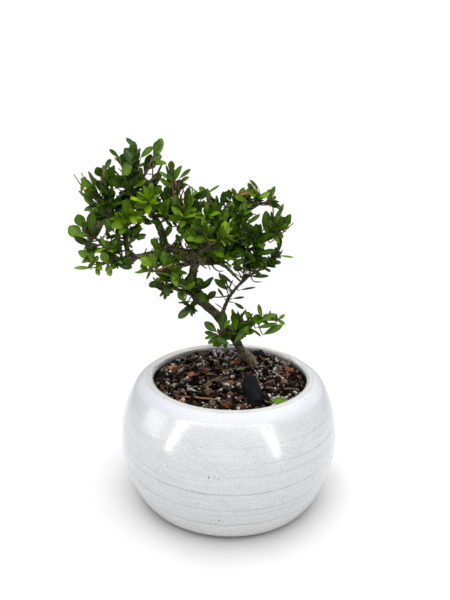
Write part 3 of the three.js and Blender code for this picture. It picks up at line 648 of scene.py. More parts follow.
def drill(pot, x, y):
    """Cuts one round drain hole through the pot's floor."""
    sides = 40
    ends = (-3, FLOOR_THICKNESS + 3)
    points = [(x + DRAIN_RADIUS * c, y + DRAIN_RADIUS * s, z) for z in ends for c, s in circle(sides)]
    faces = [tuple(reversed(range(sides))), tuple(range(sides, 2 * sides))]
    faces += [(k, (k + 1) % sides, sides + (k + 1) % sides, sides + k) for k in range(sides)]
    bit = mesh_object("drill_bit", points, faces, smooth_faces=False)
    cut = pot.modifiers.new("drain", "BOOLEAN")
    cut.object = bit
    cut.operation = "DIFFERENCE"
    cut.solver = "EXACT"
    apply_modifiers(pot)
    bpy.data.objects.remove(bit)


def glaze():
    shader = Shader("pale_glaze", 0.2, Coat_Weight=0.6, Coat_Roughness=0.04)
    height = shader.height()
    fine = shader.noise(0.6, 1.0, 0.5)
    broad = shader.noise(16, 3.0, 0.5, (1, 1, 2.5))
    bands = shader.noise(7, 4.0, 0.6, (0.12, 0.12, 4.0))
    greys = [(0.34, (0.49, 0.497, 0.518)), (0.50, (0.635, 0.647, 0.674)), (0.66, (0.705, 0.718, 0.746))]
    shader.base = shader.ramp(fine, greys)
    shader.paint(shader.between(broad, 0.35, 0.7, 0.0, 0.4), (0.705, 0.72, 0.755))
    shader.paint(shader.between(bands, 0.45, 0.75, 0.0, 0.55), (0.56, 0.567, 0.59))
    # painted shade: greyer towards the lip, where the overhead light falls strongest
    shader.paint(shader.between(height, *(z * MM for z in PAINTED_SHADE_FROM_TO), 0.0, 0.55), (0.44, 0.455, 0.485))
    # dark lines in the grooves
    patchy = shader.between(shader.noise(9, 3.0), 0.35, 0.6, 0.35, 0.85)
    lines = shader.between(shader.attribute("groove"), 0.25, 0.95)
    shader.paint(shader.times(lines, patchy), (0.25, 0.25, 0.253))
    # pinholes
    spread = {"Vector": shader.place, "Scale": 1 / (9 * MM), "Randomness": 1.0}
    cells = shader.node("ShaderNodeTexVoronoi", spread)
    pinhole = shader.math("LESS_THAN", cells.outputs["Distance"], 0.044)
    shader.paint(pinhole, (0.06, 0.055, 0.05))
    # the worn foot, and the seam where the glaze ends
    wavy = shader.between(shader.noise(9, 1.0), 0.3, 0.7, -0.4 * MM, 0.4 * MM)
    line = shader.math("ADD", height, wavy)
    below_line = shader.between(line, (GLAZE_LINE_Z - 0.2) * MM, (GLAZE_LINE_Z + 0.2) * MM, 1.0, 0.0)
    foot = shader.ramp(shader.noise(1.1, 3.0, 0.7), [(0.32, (0.56, 0.56, 0.56)), (0.62, (0.76, 0.76, 0.76))])
    shader.paint(below_line, foot)
    off_line = shader.distance(line, GLAZE_LINE_Z * MM)
    shader.paint(shader.between(off_line, 0.15 * MM, 0.45 * MM, 0.45, 0.0), (0.17, 0.165, 0.14))
    # the brushed wall inside, and the thin glaze on the edge of the lip
    brushed = shader.noise(5, 5.0, 0.75, (0.2, 0.2, 7.0))
    inner = shader.ramp(brushed, [(0.38, (0.17, 0.17, 0.165)), (0.60, (0.62, 0.62, 0.62))])
    shader.paint(shader.attribute("inside"), inner)
    shader.paint(shader.times(shader.attribute("edge"), 0.55), (0.40, 0.37, 0.29))
    shader.drive("Roughness", shader.between(bands, 0.3, 0.8, 0.16, 0.30))
    shader.bump(fine, 0.045)
    shader.bump(shader.noise(4.5, 2.0), 0.06)
    shader.drive("Coat Normal", shader.bsdf.inputs["Normal"].links[0].from_socket)
    return shader.done()


# ================================================================ wood


def limb_at(stations, u):
    """Point and radius at station number u, on the smooth curve through the stations."""
    last = len(stations) - 1
    i = min(int(math.floor(u)), last - 1)
    t = u - i
    p0 = stations[max(i - 1, 0)]
    p1 = stations[i]
    p2 = stations[i + 1]
    p3 = stations[min(i + 2, last)]
    at = []
    for k in range(3):
        b = p2[k] - p0[k]
        c = 2 * p0[k] - 5 * p1[k] + 4 * p2[k] - p3[k]
        d = 3 * p1[k] - p0[k] - 3 * p2[k] + p3[k]
        at.append(0.5 * (2 * p1[k] + b * t + c * t * t + d * t * t * t))
    return Vector(at), lerp(p1[3], p2[3], t)


def sweep(path, sides, points, faces):
    """Adds a closed tube through (centre, radius) pairs to a mesh's points and faces."""
    start = len(points)
    across = Vector((0.31, 0.93, 0.17))
    for n, (centre, radius) in enumerate(path):
        ahead = path[min(n + 1, len(path) - 1)][0]
        behind = path[max(n - 1, 0)][0]
        along = (ahead - behind).normalized()
        across = orthogonal(across, along)
        other = along.cross(across)
        points += [centre + across * (cos * radius) + other * (sin * radius) for cos, sin in circle(sides)]
    for n in range(len(path) - 1):
        for k in range(sides):
            a = start + n * sides + k
            b = start + n * sides + (k + 1) % sides
            faces.append((a, b, b + sides, a + sides))
    faces.append(tuple(start + k for k in reversed(range(sides))))
    top = start + (len(path) - 1) * sides
    faces.append(tuple(top + k for k in range(sides)))


def build_wood():
    points = []
    faces = []
    bow_from, bow_to = BOW_HEIGHTS
    for number, (name, stations) in enumerate(LIMBS.items()):
        steps = (len(stations) - 1) * RINGS_PER_STATION
        path = []
        for n in range(steps + 1):
            centre, radius = limb_at(stations, (len(stations) - 1) * n / steps)
            lump = noise.noise(centre * 0.16 + Vector((number * 7.3, 0, 0)))
            if name in BOWED_LIMBS:
                up = min(max((centre.z - bow_from) / (bow_to - bow_from), 0), 1)
                centre.x -= BOW * math.sin(math.pi * up)
            path.append((centre, radius * SLIMNESS.get(name, 1.0) * (1 + 0.16 * lump)))
        if stations[-1][3] < 1.5 and not name.startswith("root"):
            centre, radius = path[-1]
            path.append((centre + (centre - path[-2][0]).normalized() * 0.8, radius * 0.5))
        sweep(path, 20 if stations[0][3] > 2.4 else 12, points, faces)
    wood = mesh_object("bark_and_roots", points, faces)
    remesh = wood.modifiers.new("join", "REMESH")
    remesh.mode = "VOXEL"
    remesh.voxel_size = BARK_VOXEL * MM
    remesh.use_smooth_shade = True
    apply_modifiers(wood)
    roughen_bark(wood)
    wood.data.materials.append(bark())
    place(wood, "bark", "wood")


def roughen_bark(wood):
    """Moves the bark's surface in and out: broad lumps, fine cracks and small knots."""
    mesh = wood.data
    normals = [v.normal.copy() for v in mesh.vertices]
    relief = []
    for v, normal in zip(mesh.vertices, normals):
        p = v.co / MM
        lumps = noise.fractal(p * 0.22, 0.9, 2.0, 3)
        grain = noise.noise(Vector((p.x * 0.9, p.y * 0.9, p.z * 0.45)))
        crack = abs(noise.noise(Vector((p.x * 0.75, p.y * 0.75, p.z * 0.30)) + Vector((9, 4, 2))))
        depth = 0.26 * lumps + 0.16 * grain - 0.30 * (1 - smooth(crack / 0.16))
        relief.append(depth)
        v.co += normal * (depth * MM)
    mesh.attributes.new("relief", "FLOAT", "POINT").data.foreach_set("value", relief)
    mesh.update()


def bark():
    shader = Shader("bark", 0.9, Specular_IOR_Level=0.15)
    height = shader.height()
    coarse = shader.noise(4.0, 4.0, 0.65)
    fine = shader.noise(0.9, 3.0, 0.7, (1, 1, 0.5))
    browns = [(0.32, (0.012, 0.008, 0.005)), (0.50, (0.052, 0.040, 0.023)), (0.70, (0.16, 0.135, 0.085))]
    shader.base = shader.ramp(coarse, browns)
    shader.paint(shader.between(fine, 0.42, 0.66, 0.0, 0.8), (0.26, 0.23, 0.15))
    # the bark's cracks are darker the deeper they are: partly their own darker bark, partly painted shade
    crevice_shade = shader.between(shader.attribute("relief"), 0.0, -0.35, 0.0, 0.9)
    shader.paint(crevice_shade, (0.009, 0.007, 0.004))
    moss = shader.between(shader.noise(5.0, 4.0, 0.6), 0.44, 0.62, 0.0, 0.75)
    shader.paint(moss, (0.050, 0.062, 0.015))
    # tan bark near the soil, partly worn and partly a painted highlight, and worn tan bark at the burl
    foot = shader.between(height, *(z * MM for z in TAN_AND_HIGHLIGHT_FROM_TO), 0.0, 0.75)
    off_burl = shader.distance(height, BURL_Z * MM)
    bare = shader.math("MAXIMUM", foot, shader.between(off_burl, 9 * MM, 4 * MM, 0.0, 0.65))
    tan_and_highlight = shader.times(bare, shader.between(shader.noise(2.2, 4.0, 0.7), 0.42, 0.58))
    shader.paint(tan_and_highlight, (0.36, 0.30, 0.185))
    shader.bump(fine, 0.25)
    shader.bump(coarse, 0.3)
    return shader.done()


# ================================================================ leaves


def twig_offset(stations, station, radius, axis):
    """How far from a limb's centreline the CAD twig starts."""
    bark_radius = radius * (1 + BARK_RELIEF) + GAP
    last = len(stations) - 1
    if station == last:
        return bark_radius
    ahead = limb_at(stations, min(station + 0.1, last))[0]
    behind = limb_at(stations, max(station - 0.1, 0))[0]
    cosine = abs((ahead - behind).normalized().dot(axis))
    sine = max(math.sqrt(1 - cosine * cosine), 0.4)
    return (bark_radius + TWIG_RADIUS * cosine) / sine


class Twig:
    """The stem of one sprig or side shoot."""

    def __init__(self, limb, station, bearing, rise, length):
        centre, radius = limb_at(LIMBS[limb], station)
        self.length = length
        self.root = centre
        self.axis = heading(bearing, rise)
        self.start = centre + self.axis * twig_offset(LIMBS[limb], station, radius, self.axis)

    def at(self, t):
        return self.start + self.axis * (self.length * t) + Vector((0, 0, 0.1 * self.length)) * (t * t)


def leaf_of(sprig, twig, n, i, attempt):
    """Base, direction, normal, length and width of leaf number i, as the CAD model lays it out."""
    t = lerp(0.05, 1, (i + 1) / sprig.leaves)
    turn = GOLDEN_ANGLE * i + 0.7 * attempt + 2 * math.pi * frac_noise(n, 7)
    opening = lerp(1.5, 0.45, t) + 0.5 * (frac_noise(n * 31 + i, 3) - 0.5)
    size = lerp(0.7, 1.05, frac_noise(n * 17 + i, 11)) * (0.75 if attempt > 4 else 1)
    length = sprig.leaf_length * size
    width = length * LEAF_WIDTH_SHARE * lerp(0.85, 1.15, frac_noise(n * 13 + i, 5))
    return laid_leaf(twig, t, turn, opening, length, width)


def front_view(p):
    """Where a point appears on the plane y = 0, seen from the camera: x and z."""
    eye = Vector(CAMERA_PLACE)
    ray = p - eye
    at = eye + ray * (-eye.y / ray.y)
    return at.x, at.z


def in_crown(x, z):
    """Whether a place on the plane y = 0 is inside the crown's outline and in none of its gaps."""
    if any(((x - wx) / hx) ** 2 + ((z - wz) / hz) ** 2 < 1 for wx, wz, hx, hz in WINDOWS):
        return False
    return is_within(CROWN, x, z) or is_within(LOW_CROWN, x, z)


def is_within(outline, x, z):
    """Whether a place is inside an outline: an odd number of its sides are to the right of it."""
    inside = False
    for (x0, z0), (x1, z1) in zip(outline, outline[1:] + outline[:1]):
        if (z0 > z) != (z1 > z) and x < x0 + (z - z0) / (z1 - z0) * (x1 - x0):
            inside = not inside
    return inside


def leaf_fits(leaf):
    """Whether a leaf's middle and tip, and a place between them, are inside the crown."""
    spots = [leaf["base"] + leaf["dir"] * (leaf["length"] * t) for t in (0.5, 0.75, 1.0)]
    return all(in_crown(*front_view(spot)) for spot in spots)


def loosened(leaf, rng):
    """The leaf with its blade leant and rolled a little, as no two real leaves lie alike."""
    side = leaf["normal"].cross(leaf["dir"]).normalized()
    swing = Matrix.Rotation(rng.gauss(0, LEAF_SWING), 3, side)
    swing = Matrix.Rotation(rng.gauss(0, LEAF_SWING), 3, leaf["normal"]) @ swing
    direction = (swing @ leaf["dir"]).normalized()
    roll = Matrix.Rotation(rng.gauss(0, LEAF_ROLL), 3, direction)
    normal = roll @ orthogonal(leaf["normal"], direction)
    return {**leaf, "dir": direction, "normal": normal}


def laid_leaf(twig, t, turn, opening, length, width):
    """A leaf at a share t of the twig, turned round it and opened from it by two angles in radians."""
    across = orthogonal(Vector((0.31, 0.93, 0.17)), twig.axis)
    other = twig.axis.cross(across)
    direction = twig.axis * math.cos(opening)
    direction += across * (math.cos(turn) * math.sin(opening))
    direction += other * (math.sin(turn) * math.sin(opening))
    direction.z += 0.2
    direction.normalize()
    normal = orthogonal(twig.axis + Vector((0, -0.25, 0.5)), direction)
    base = twig.at(t) - direction * 0.45
    return {"base": base, "dir": direction, "normal": normal, "length": length, "width": width, "t": t}


def is_in_cad(leaf, corners):
    """Whether the CAD sprig has this leaf: at least two corners of its outline are there."""
    side = leaf["normal"].cross(leaf["dir"]).normalized()
    found = 0
    for along, across in ((0.62, -1), (0.98, -0.42), (0.98, 0.42), (0.62, 1)):
        p = leaf["base"] + leaf["dir"] * (along * leaf["length"]) + side * (across * leaf["width"] / 2)
        found += any((p - c).length < MATCH for c in corners)
    return found >= 2


def cad_leaf(sprig, twig, n, i, corners):
    """Leaf number i as the CAD sprig has it, or None where the CAD model left it out."""
    for attempt in range(LEAF_TRIES):
        leaf = leaf_of(sprig, twig, n, i, attempt)
        if is_in_cad(leaf, corners):
            return leaf
    return None


# Half width of a leaf along its length, as a share of its largest half width.
LEAF_OUTLINE = [
    (0.0, 0.10), (0.07, 0.13), (0.18, 0.42), (0.34, 0.74), (0.50, 0.94), (0.64, 1.0), (0.77, 0.93),
    (0.88, 0.72), (0.95, 0.46), (1.0, 0.12),
]
# The same for a pointed leaf.
POINTED_OUTLINE = (0.10, 0.18, 0.48, 0.82, 1.0, 0.96, 0.76, 0.46, 0.22, 0.03)
LEAF_ACROSS = (-1.0, -0.52, 0.0, 0.52, 1.0)


class Foliage:
    """Gathers the points and faces of one piece's leaves and stems. The stems come first."""

    def __init__(self):
        self.points = []
        self.faces = []
        self.marks = {"tone": [], "along": [], "across": [], "under": []}
        self.stem_faces = 0

    def note(self, count, *values):
        """Gives the last `count` points their tone and their place on the leaf."""
        for mark, value in zip(self.marks.values(), values):
            mark += [value] * count

    def stem(self, path, sides, tone):
        before = len(self.points)
        sweep(path, sides, self.points, self.faces)
        self.note(len(self.points) - before, tone, 0.0, 0.0, 0.0)
        self.stem_faces = len(self.faces)

    def leaf(self, leaf, tone, rng, roundness=0.0, most_pointed=0.7):
        """A leaf blade with a folded midrib, a bend along its length and a slight twist."""
        pointed = rng.uniform(0, most_pointed)
        side = leaf["normal"].cross(leaf["dir"]).normalized()
        fold = rng.uniform(0.05, 0.32)
        bend = rng.uniform(-0.14, 0.10)
        twist = rng.uniform(-0.25, 0.25)
        wave = rng.uniform(-0.05, 0.05)
        start = len(self.points)
        rows = len(LEAF_OUTLINE)
        columns = len(LEAF_ACROSS)
        for under in (0, 1):
            for (along, share), sharp in zip(LEAF_OUTLINE, POINTED_OUTLINE):
                share = lerp(share, sharp, pointed)
                share = lerp(share, math.sqrt(max(1 - (2 * along - 1) ** 2, 0.02)), roundness)
                turned = twist * along
                s = side * math.cos(turned) + leaf["normal"] * math.sin(turned)
                up = leaf["normal"] * math.cos(turned) - side * math.sin(turned)
                middle = leaf["base"] + leaf["dir"] * (along * leaf["length"])
                middle += leaf["normal"] * (bend * leaf["length"] * along * along)
                for across in LEAF_ACROSS:
                    half = share * leaf["width"] / 2
                    lift = fold * abs(across) * half + wave * across * leaf["width"] * along
                    thick = LEAF_THICKNESS * (1 - 0.6 * abs(across)) / 2
                    p = middle + s * (across * half) + up * (lift + (-thick if under else thick))
                    self.points.append(p)
                    self.note(1, tone, along, across, float(under))

        def index(under, row, column):
            return start + (under * rows + row) * columns + column

        for row in range(rows - 1):
            for column in range(columns - 1):
                corners = ((row, column), (row, column + 1), (row + 1, column + 1), (row + 1, column))
                self.faces.append(tuple(index(0, *c) for c in reversed(corners)))
                self.faces.append(tuple(index(1, *c) for c in corners))
        rim = [(row, 0) for row in range(rows)]
        rim += [(rows - 1, column) for column in range(1, columns)]
        rim += [(row, columns - 1) for row in reversed(range(rows - 1))]
        rim += [(0, column) for column in reversed(range(1, columns - 1))]
        for k, corner in enumerate(rim):
            after = rim[(k + 1) % len(rim)]
            self.faces.append((index(0, *corner), index(0, *after), index(1, *after), index(1, *corner)))

    def build_piece(self, name, materials, *nodes):
        """Makes the piece. `materials` are those of its leaves and its stems."""
        obj = mesh_object(name, self.points, self.faces, **self.marks)
        for material in materials:
            obj.data.materials.append(material)
        is_stem = [1 if k < self.stem_faces else 0 for k in range(len(self.faces))]
        obj.data.polygons.foreach_set("material_index", is_stem)
        obj.data.update()
        place(obj, "leaf", *nodes)


def build_sprigs():
    """The leaves of each CAD sprig on its twig, with small extra leaves between them."""
    materials = (leaf_shader(), stem_shader())
    for n, sprig in enumerate(SPRIGS):
        node = f"sprig_{n + 1:02d}_{sprig.limb}"
        corners = [v.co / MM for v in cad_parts[node].data.vertices]
        rng = random.Random(SEEDS["sprigs"] + n)
        twig = Twig(*sprig[:5])
        foliage = Foliage()
        path = [(twig.root, 0.75)]
        path += [(twig.at(k / 6), lerp(0.62, 0.34, k / 6)) for k in range(7)]
        foliage.stem(path, 7, sprig.tone)
        for i in range(sprig.leaves):
            leaf = cad_leaf(sprig, twig, n, i, corners)
            if leaf:
                leaf["width"] *= rng.uniform(0.72, 0.92)
                leaf["length"] *= rng.uniform(0.82, 1.0)
                leaf = loosened(leaf, rng)
                if not leaf_fits(leaf):
                    leaf["length"] *= SHRUNK_LEAF
                    leaf["width"] *= SHRUNK_LEAF
                foliage.leaf(leaf, leaf_tone(sprig.tone, leaf["t"], rng), rng)
        for _ in range(EXTRA_LEAVES):
            length = sprig.leaf_length * rng.uniform(0.5, 0.8)
            t = rng.uniform(0.0, 1.0)
            turn = rng.uniform(0, 2 * math.pi)
            opening = rng.uniform(0.4, 1.5)
            width = length * rng.uniform(0.32, 0.46)
            leaf = loosened(laid_leaf(twig, t, turn, opening, length, width), rng)
            if leaf_fits(leaf):
                foliage.leaf(leaf, leaf_tone(sprig.tone * 0.8, t, rng), rng)
        foliage.build_piece(f"foliage_{n + 1:02d}", materials, node)
    build_limb_shoots(materials)
    build_standouts(materials)


def limb_shoots(limb, spacing, reach, rng):
    """Side shoots at uneven distances along a limb, without those outside the crown."""
    stations = LIMBS[limb]
    last = len(stations) - 1
    shoots = []
    u = 0.2 if limb == "burl" else 0.5
    while u < last:
        here, radius = limb_at(stations, u)
        step = (limb_at(stations, min(u + 0.05, last))[0] - here).length / 0.05
        u += spacing / max(step, 1.0) * rng.uniform(0.7, 1.3)
        length = reach * rng.uniform(0.5, 1.3)
        shoot = Twig(limb, 0, rng.uniform(0, 360), rng.uniform(-15, 75), length)
        shoot.root = here
        shoot.start = here + shoot.axis * radius
        if in_crown(*front_view(shoot.at(0.6))):
            shoots.append(shoot)
    return shoots


def build_limb_shoots(materials):
    """Short leafy side shoots along the limbs, which the CAD model leaves out."""
    for number, (limb, (spacing, reach, leaf_length, tone)) in enumerate(LIMB_SHOOTS.items()):
        rng = random.Random(SEEDS["limb_shoots"] + number)
        foliage = Foliage()
        shoots = limb_shoots(limb, spacing, reach, rng)
        for shoot in shoots:
            path = [(shoot.root, 0.5)] + [(shoot.at(k / 4), lerp(0.45, 0.28, k / 4)) for k in range(5)]
            foliage.stem(path, 6, tone)
        for shoot in shoots:
            young = rng.random() ** 2
            count = rng.randint(5, 8)
            for i in range(count):
                t = (i + 1) / count
                length = leaf_length * rng.uniform(0.6, 1.1)
                width = length * rng.uniform(0.30, 0.44)
                turn = GOLDEN_ANGLE * i + shoot.length
                leaf = loosened(laid_leaf(shoot, t, turn, lerp(1.4, 0.5, t), length, width), rng)
                if leaf_fits(leaf):
                    foliage.leaf(leaf, leaf_tone(lerp(tone * 0.5, tone + 0.35, young), t, rng), rng)
        foliage.build_piece(f"shoots_{limb}", materials)


def on_sight_line(x, z, y):
    """The point at depth y that the camera sees at x, z on the plane y = 0: front_view backwards."""
    eye = Vector(CAMERA_PLACE)
    return eye + (Vector((x, 0, z)) - eye) * ((y - eye.y) / -eye.y)


def nearest_limb(x, z):
    """The point of the limbs above the soil that the camera sees closest to x, z."""
    spots = []
    for limb, stations in LIMBS.items():
        if not limb.startswith("root"):
            spots += [limb_at(stations, k / 12)[0] for k in range(12 * (len(stations) - 1) + 1)]
    return min(spots, key=lambda spot: (Vector(front_view(spot)) - Vector((x, z))).length)


def stalk(start, end, radius, sag=0.12):
    """A slightly bowed path from start to end, thinner at the end."""
    reach = (end - start).length
    path = []
    for k in range(6):
        t = k / 5
        bow = Vector((0, 0, -sag * reach * math.sin(math.pi * t)))
        path.append((start.lerp(end, t) + bow, radius * lerp(1.0, 0.6, t)))
    return path


def build_standouts(materials):
    """The single leaves of STANDOUT_LEAVES, each on a thin stalk from the nearest limb."""
    for number, (group, rows) in enumerate(STANDOUT_LEAVES.items()):
        rng = random.Random(SEEDS["standouts"] + number)
        foliage = Foliage()
        leaves = []
        for x0, z0, x1, z1, width, tone in rows:
            limb_point = nearest_limb(x0, z0)
            y = limb_point.y - rng.uniform(2, 7) - FORWARD.get(group, 0)
            base = on_sight_line(x0, z0, y)
            tip = on_sight_line(x1, z1, y)
            short = max(SHORTEST_LEAF**2 - (tip - base).length ** 2, 0.0)
            blade = on_sight_line(x1, z1, y - 0.7 * math.sqrt(short)) - base
            direction = blade.normalized()
            normal = orthogonal(Vector((rng.uniform(-0.35, 0.35), -1, rng.uniform(0.2, 0.8))), direction)
            foliage.stem(stalk(limb_point, base, 0.42), 6, tone)
            leaf = {"base": base, "dir": direction, "normal": normal, "length": blade.length, "width": width}
            leaves.append((leaf, tone))
        for leaf, tone in leaves:
            foliage.leaf(leaf, tone, rng, most_pointed=0.6)
        foliage.build_piece(f"standout_{group}", materials)


def build_bare_shoots():
    """The thin bare shoots of BARE_SHOOTS, one piece for each limb."""
    material = shoot_shader()
    for number, (limb, (redness, rows)) in enumerate(BARE_SHOOTS.items()):
        rng = random.Random(SEEDS["bare_shoots"] + number)
        shoots = Crumbs(f"bare_shoots_{limb}")
        for x0, z0, x1, z1 in rows:
            limb_point = nearest_limb(x0, z0)
            y = limb_point.y - rng.uniform(1, 4)
            start = on_sight_line(x0, z0, y)
            end = on_sight_line(x1, z1, y - 2)
            path = stalk(limb_point, start, 0.45) + stalk(start, end, 0.42, 0.03)[1:]
            shoots.tube(path, 7, redness + rng.uniform(-0.15, 0.1))
        shoots.build(material, "leaf", smooth_faces=True)


# Limbs with dead twiglets: how many each has, and from which station on.
TWIGLETS = {
    "burl": (46, 0.2), "leader": (16, 0.2), "left_arm": (12, 0.2), "crook": (8, 0.2), "trunk": (10, 7.0),
}


def build_tangle():
    """Dead twiglets on the burl and the main limbs."""
    rng = random.Random(SEEDS["twiglets"])
    tangle = Crumbs("dead_twiglets")
    for limb, (count, first) in TWIGLETS.items():
        stations = LIMBS[limb]
        for _ in range(count):
            centre, radius = limb_at(stations, rng.uniform(first, len(stations) - 1.2))
            out = heading(rng.uniform(190, 350), rng.uniform(-35, 60))
            reach = rng.uniform(2.5, 9.0)
            end = centre + out * (radius + reach) + Vector((rng.uniform(-2, 2), 0, rng.uniform(-2, 2)))
            twiglet = stalk(centre, end, rng.uniform(0.35, 0.6), rng.uniform(-0.2, 0.3))
            tangle.tube(twiglet, 6, rng.random())
    tangle.build(grit_shader("dead_twig"), "bark", smooth_faces=True)


def leaf_tone(tone, t, rng):
    """Leaves near a twig's tip are younger and brighter."""
    return min(max(0.75 * tone + 0.25 * t + rng.uniform(-0.18, 0.16), 0.0), 1.0)


def leaf_shader(name="leaf"):
    shader = Shader(name, 0.36, Specular_IOR_Level=0.18)
    uneven = shader.between(shader.noise(3.0), 0.3, 0.7, -0.07, 0.07)
    tone = shader.math("ADD", shader.attribute("tone"), uneven)
    greens = [
        (0.0, (0.009, 0.023, 0.001)), (0.25, (0.030, 0.072, 0.001)), (0.5, (0.080, 0.172, 0.002)),
        (0.75, (0.112, 0.225, 0.003)), (1.0, (0.215, 0.325, 0.008)),
    ]
    shader.base = shader.ramp(tone, greens)
    # bluish patches on darker leaves: partly their own hue, partly a painted sheen
    patches = shader.between(shader.noise(7.0, 1.0), 0.50, 0.64, 0.0, 0.55)
    bluish_hue_and_sheen = shader.times(patches, shader.between(tone, 0.5, 0.3))
    shader.paint(bluish_hue_and_sheen, (0.016, 0.045, 0.022))
    off_middle = shader.math("ABSOLUTE", shader.attribute("across"))
    rib = shader.between(off_middle, 0.14, 0.03, 0.0, 0.45)
    shader.paint(rib, (0.15, 0.24, 0.04))
    under = shader.times(shader.attribute("under"), 0.5)
    shader.paint(under, (0.075, 0.110, 0.026))
    withered = shader.between(shader.attribute("tone"), 1.1, 1.3)
    shader.paint(withered, (0.24, 0.115, 0.030))
    along = shader.times(shader.attribute("along"), 14.0)
    slanted = shader.math("ADD", along, shader.times(off_middle, -3.0))
    veins = shader.math("SINE", shader.times(slanted, 2 * math.pi))
    shader.bump(shader.between(veins, -1, 1), 0.08, 0.5)
    shader.bump(shader.noise(0.8), 0.06, 0.5)
    shader.drive("Roughness", shader.between(shader.noise(2.0), 0.3, 0.7, 0.22, 0.40))
    return shader.done()


def stem_shader(name="young_stem"):
    shader = Shader(name, 0.6)
    browns = [(0.3, (0.08, 0.040, 0.022)), (0.55, (0.16, 0.085, 0.05)), (0.75, (0.12, 0.12, 0.04))]
    shader.base = shader.ramp(shader.noise(2.2), browns)
    shader.bump(shader.noise(0.6), 0.12)
    return shader.done()


def shoot_shader():
    shader = Shader("bare_shoot", 0.6, Specular_IOR_Level=0.2)
    reds = [(0.0, (0.085, 0.064, 0.032)), (0.5, (0.21, 0.130, 0.066)), (1.0, (0.26, 0.095, 0.060))]
    shader.base = shader.ramp(shader.attribute("tone"), reds)
    shader.bump(shader.noise(0.6), 0.12)
    return shader.done()


# ================================================================ soil


def soil_height(x, y):
    """The soil's surface: nearly level, with humps, and packed down towards the pot's wall."""
    p = Vector((x, y, 0))
    hump = 0.9 * noise.fractal(p * 0.08, 1.0, 2.0, 3) + 0.5 * noise.noise(p * 0.45)
    return SOIL_Z + SOIL_SLOPE * y + hump


def build_soil():
    side_profile = [(41, SOIL_BOTTOM_Z), (45.4, 6.3)]
    side_profile += [(ball_radius(z, INNER_RADIUS) - 0.4, z) for z in (10, 17, 27, 36.7, 46, 55)]
    side_profile += [(48.0, 63), (45.2, 66.6)]
    turn = circle(SOIL_SIDES)
    points = [Vector((0, 0, SOIL_BOTTOM_Z))]
    points += [Vector((radius * c, radius * s, z)) for radius, z in side_profile for c, s in turn]
    top = [(radius * c, radius * s) for radius in SOIL_TOP_RADII for c, s in turn] + [(0, 0)]
    points += [Vector((x, y, soil_height(x, y))) for x, y in top]
    faces = turned_faces(len(side_profile) + len(SOIL_TOP_RADII), SOIL_SIDES)
    soil = mesh_object("compost", points, faces)
    shader = Shader("compost", 0.95, Specular_IOR_Level=0.05)
    # the compost is nearly black: its own dark colour and painted shade for the gaps between the grit
    compost_and_gap_shade = [(0.35, (0.002, 0.002, 0.002)), (0.55, (0.008, 0.006, 0.005)), (0.75, (0.03, 0.02, 0.015))]
    shader.base = shader.ramp(shader.noise(1.6, 4.0, 0.7), compost_and_gap_shade)
    shader.bump(shader.noise(1.2, 4.0, 0.7), 0.8)
    soil.data.materials.append(shader.done())
    place(soil, "soil_mix", "soil")


def ball_points(subdivisions):
    """Corners and faces of a ball: 80 facets for 2 subdivisions, 320 for 3 and 1280 for 4."""
    mesh = bmesh.new()
    bmesh.ops.create_icosphere(mesh, subdivisions=subdivisions, radius=1.0)
    corners = [v.co.copy() for v in mesh.verts]
    faces = [tuple(v.index for v in f.verts) for f in mesh.faces]
    mesh.free()
    return corners, faces


BALL = ball_points(2)
MIDDLE_BALL = ball_points(3)
FINE_BALL = ball_points(4)


class Crumbs:
    """Gathers many small lumps or thin tubes into one piece."""

    def __init__(self, name):
        self.name = name
        self.points = []
        self.faces = []
        self.tone = []

    def lump(self, centre, half, rng, rough, blocky=0.0, tilt=0.5, ball=BALL, turn=None):
        """One lump: `rough` dents it, `blocky` squares it off and `tilt` leans it, in radians."""
        corners, faces = ball
        start = len(self.points)
        if turn is None:
            turn = Matrix.Rotation(rng.uniform(0, 2 * math.pi), 3, "Z")
            turn = turn @ Matrix.Rotation(rng.uniform(-tilt, tilt), 3, "X")
            turn = turn @ Matrix.Rotation(rng.uniform(-tilt, tilt), 3, "Y")
        shift = Vector((rng.uniform(0, 90), rng.uniform(0, 90), rng.uniform(0, 90)))
        for c in corners:
            square = (c.x**4 + c.y**4 + c.z**4) ** -0.25
            push = lerp(1.0, square, blocky) * (1 + rough * 2 * noise.noise(c * 0.9 + shift))
            p = Vector((c.x * half[0], c.y * half[1], c.z * half[2])) * push
            self.points.append(Vector(centre) + turn @ p)
        self.faces += [tuple(start + i for i in f) for f in faces]
        self.tone += [rng.random()] * len(corners)

    def tube(self, path, sides, tone):
        before = len(self.points)
        sweep(path, sides, self.points, self.faces)
        self.tone += [tone] * (len(self.points) - before)

    def build(self, material, slot, *nodes, smooth_faces=False):
        obj = mesh_object(self.name, self.points, self.faces, smooth_faces, tone=self.tone)
        obj.data.materials.append(material)
        place(obj, slot, *nodes)


# Places that loose grit keeps off: centre x, y and radius.
BIG_PIECES = [
    (12, -14, 5.2), (12, -19.5, 5.6), (12, -25, 5.2), (18.5, 34.6, 4), (35.5, 14, 4),
    (-34.5, 13.5, 3.4), (15, 25, 5.5), (-12, -9.5, 2.6), (-9, -5.5, 2.8), (-6, -1.5, 2.6),
    (-24, -26.4, 2.2), (-20, -27, 2.2), (-16, -27.5, 2.2), (-12, -28, 2.2), (-8, -28.6, 2.2),
    (23.5, -27, 2.6), (27, -27, 3.0), (31, -26.4, 2.6),
]


def is_clear(x, y):
    """Whether no big piece lies here."""
    return all((x - sx) ** 2 + (y - sy) ** 2 > r * r for sx, sy, r in BIG_PIECES)


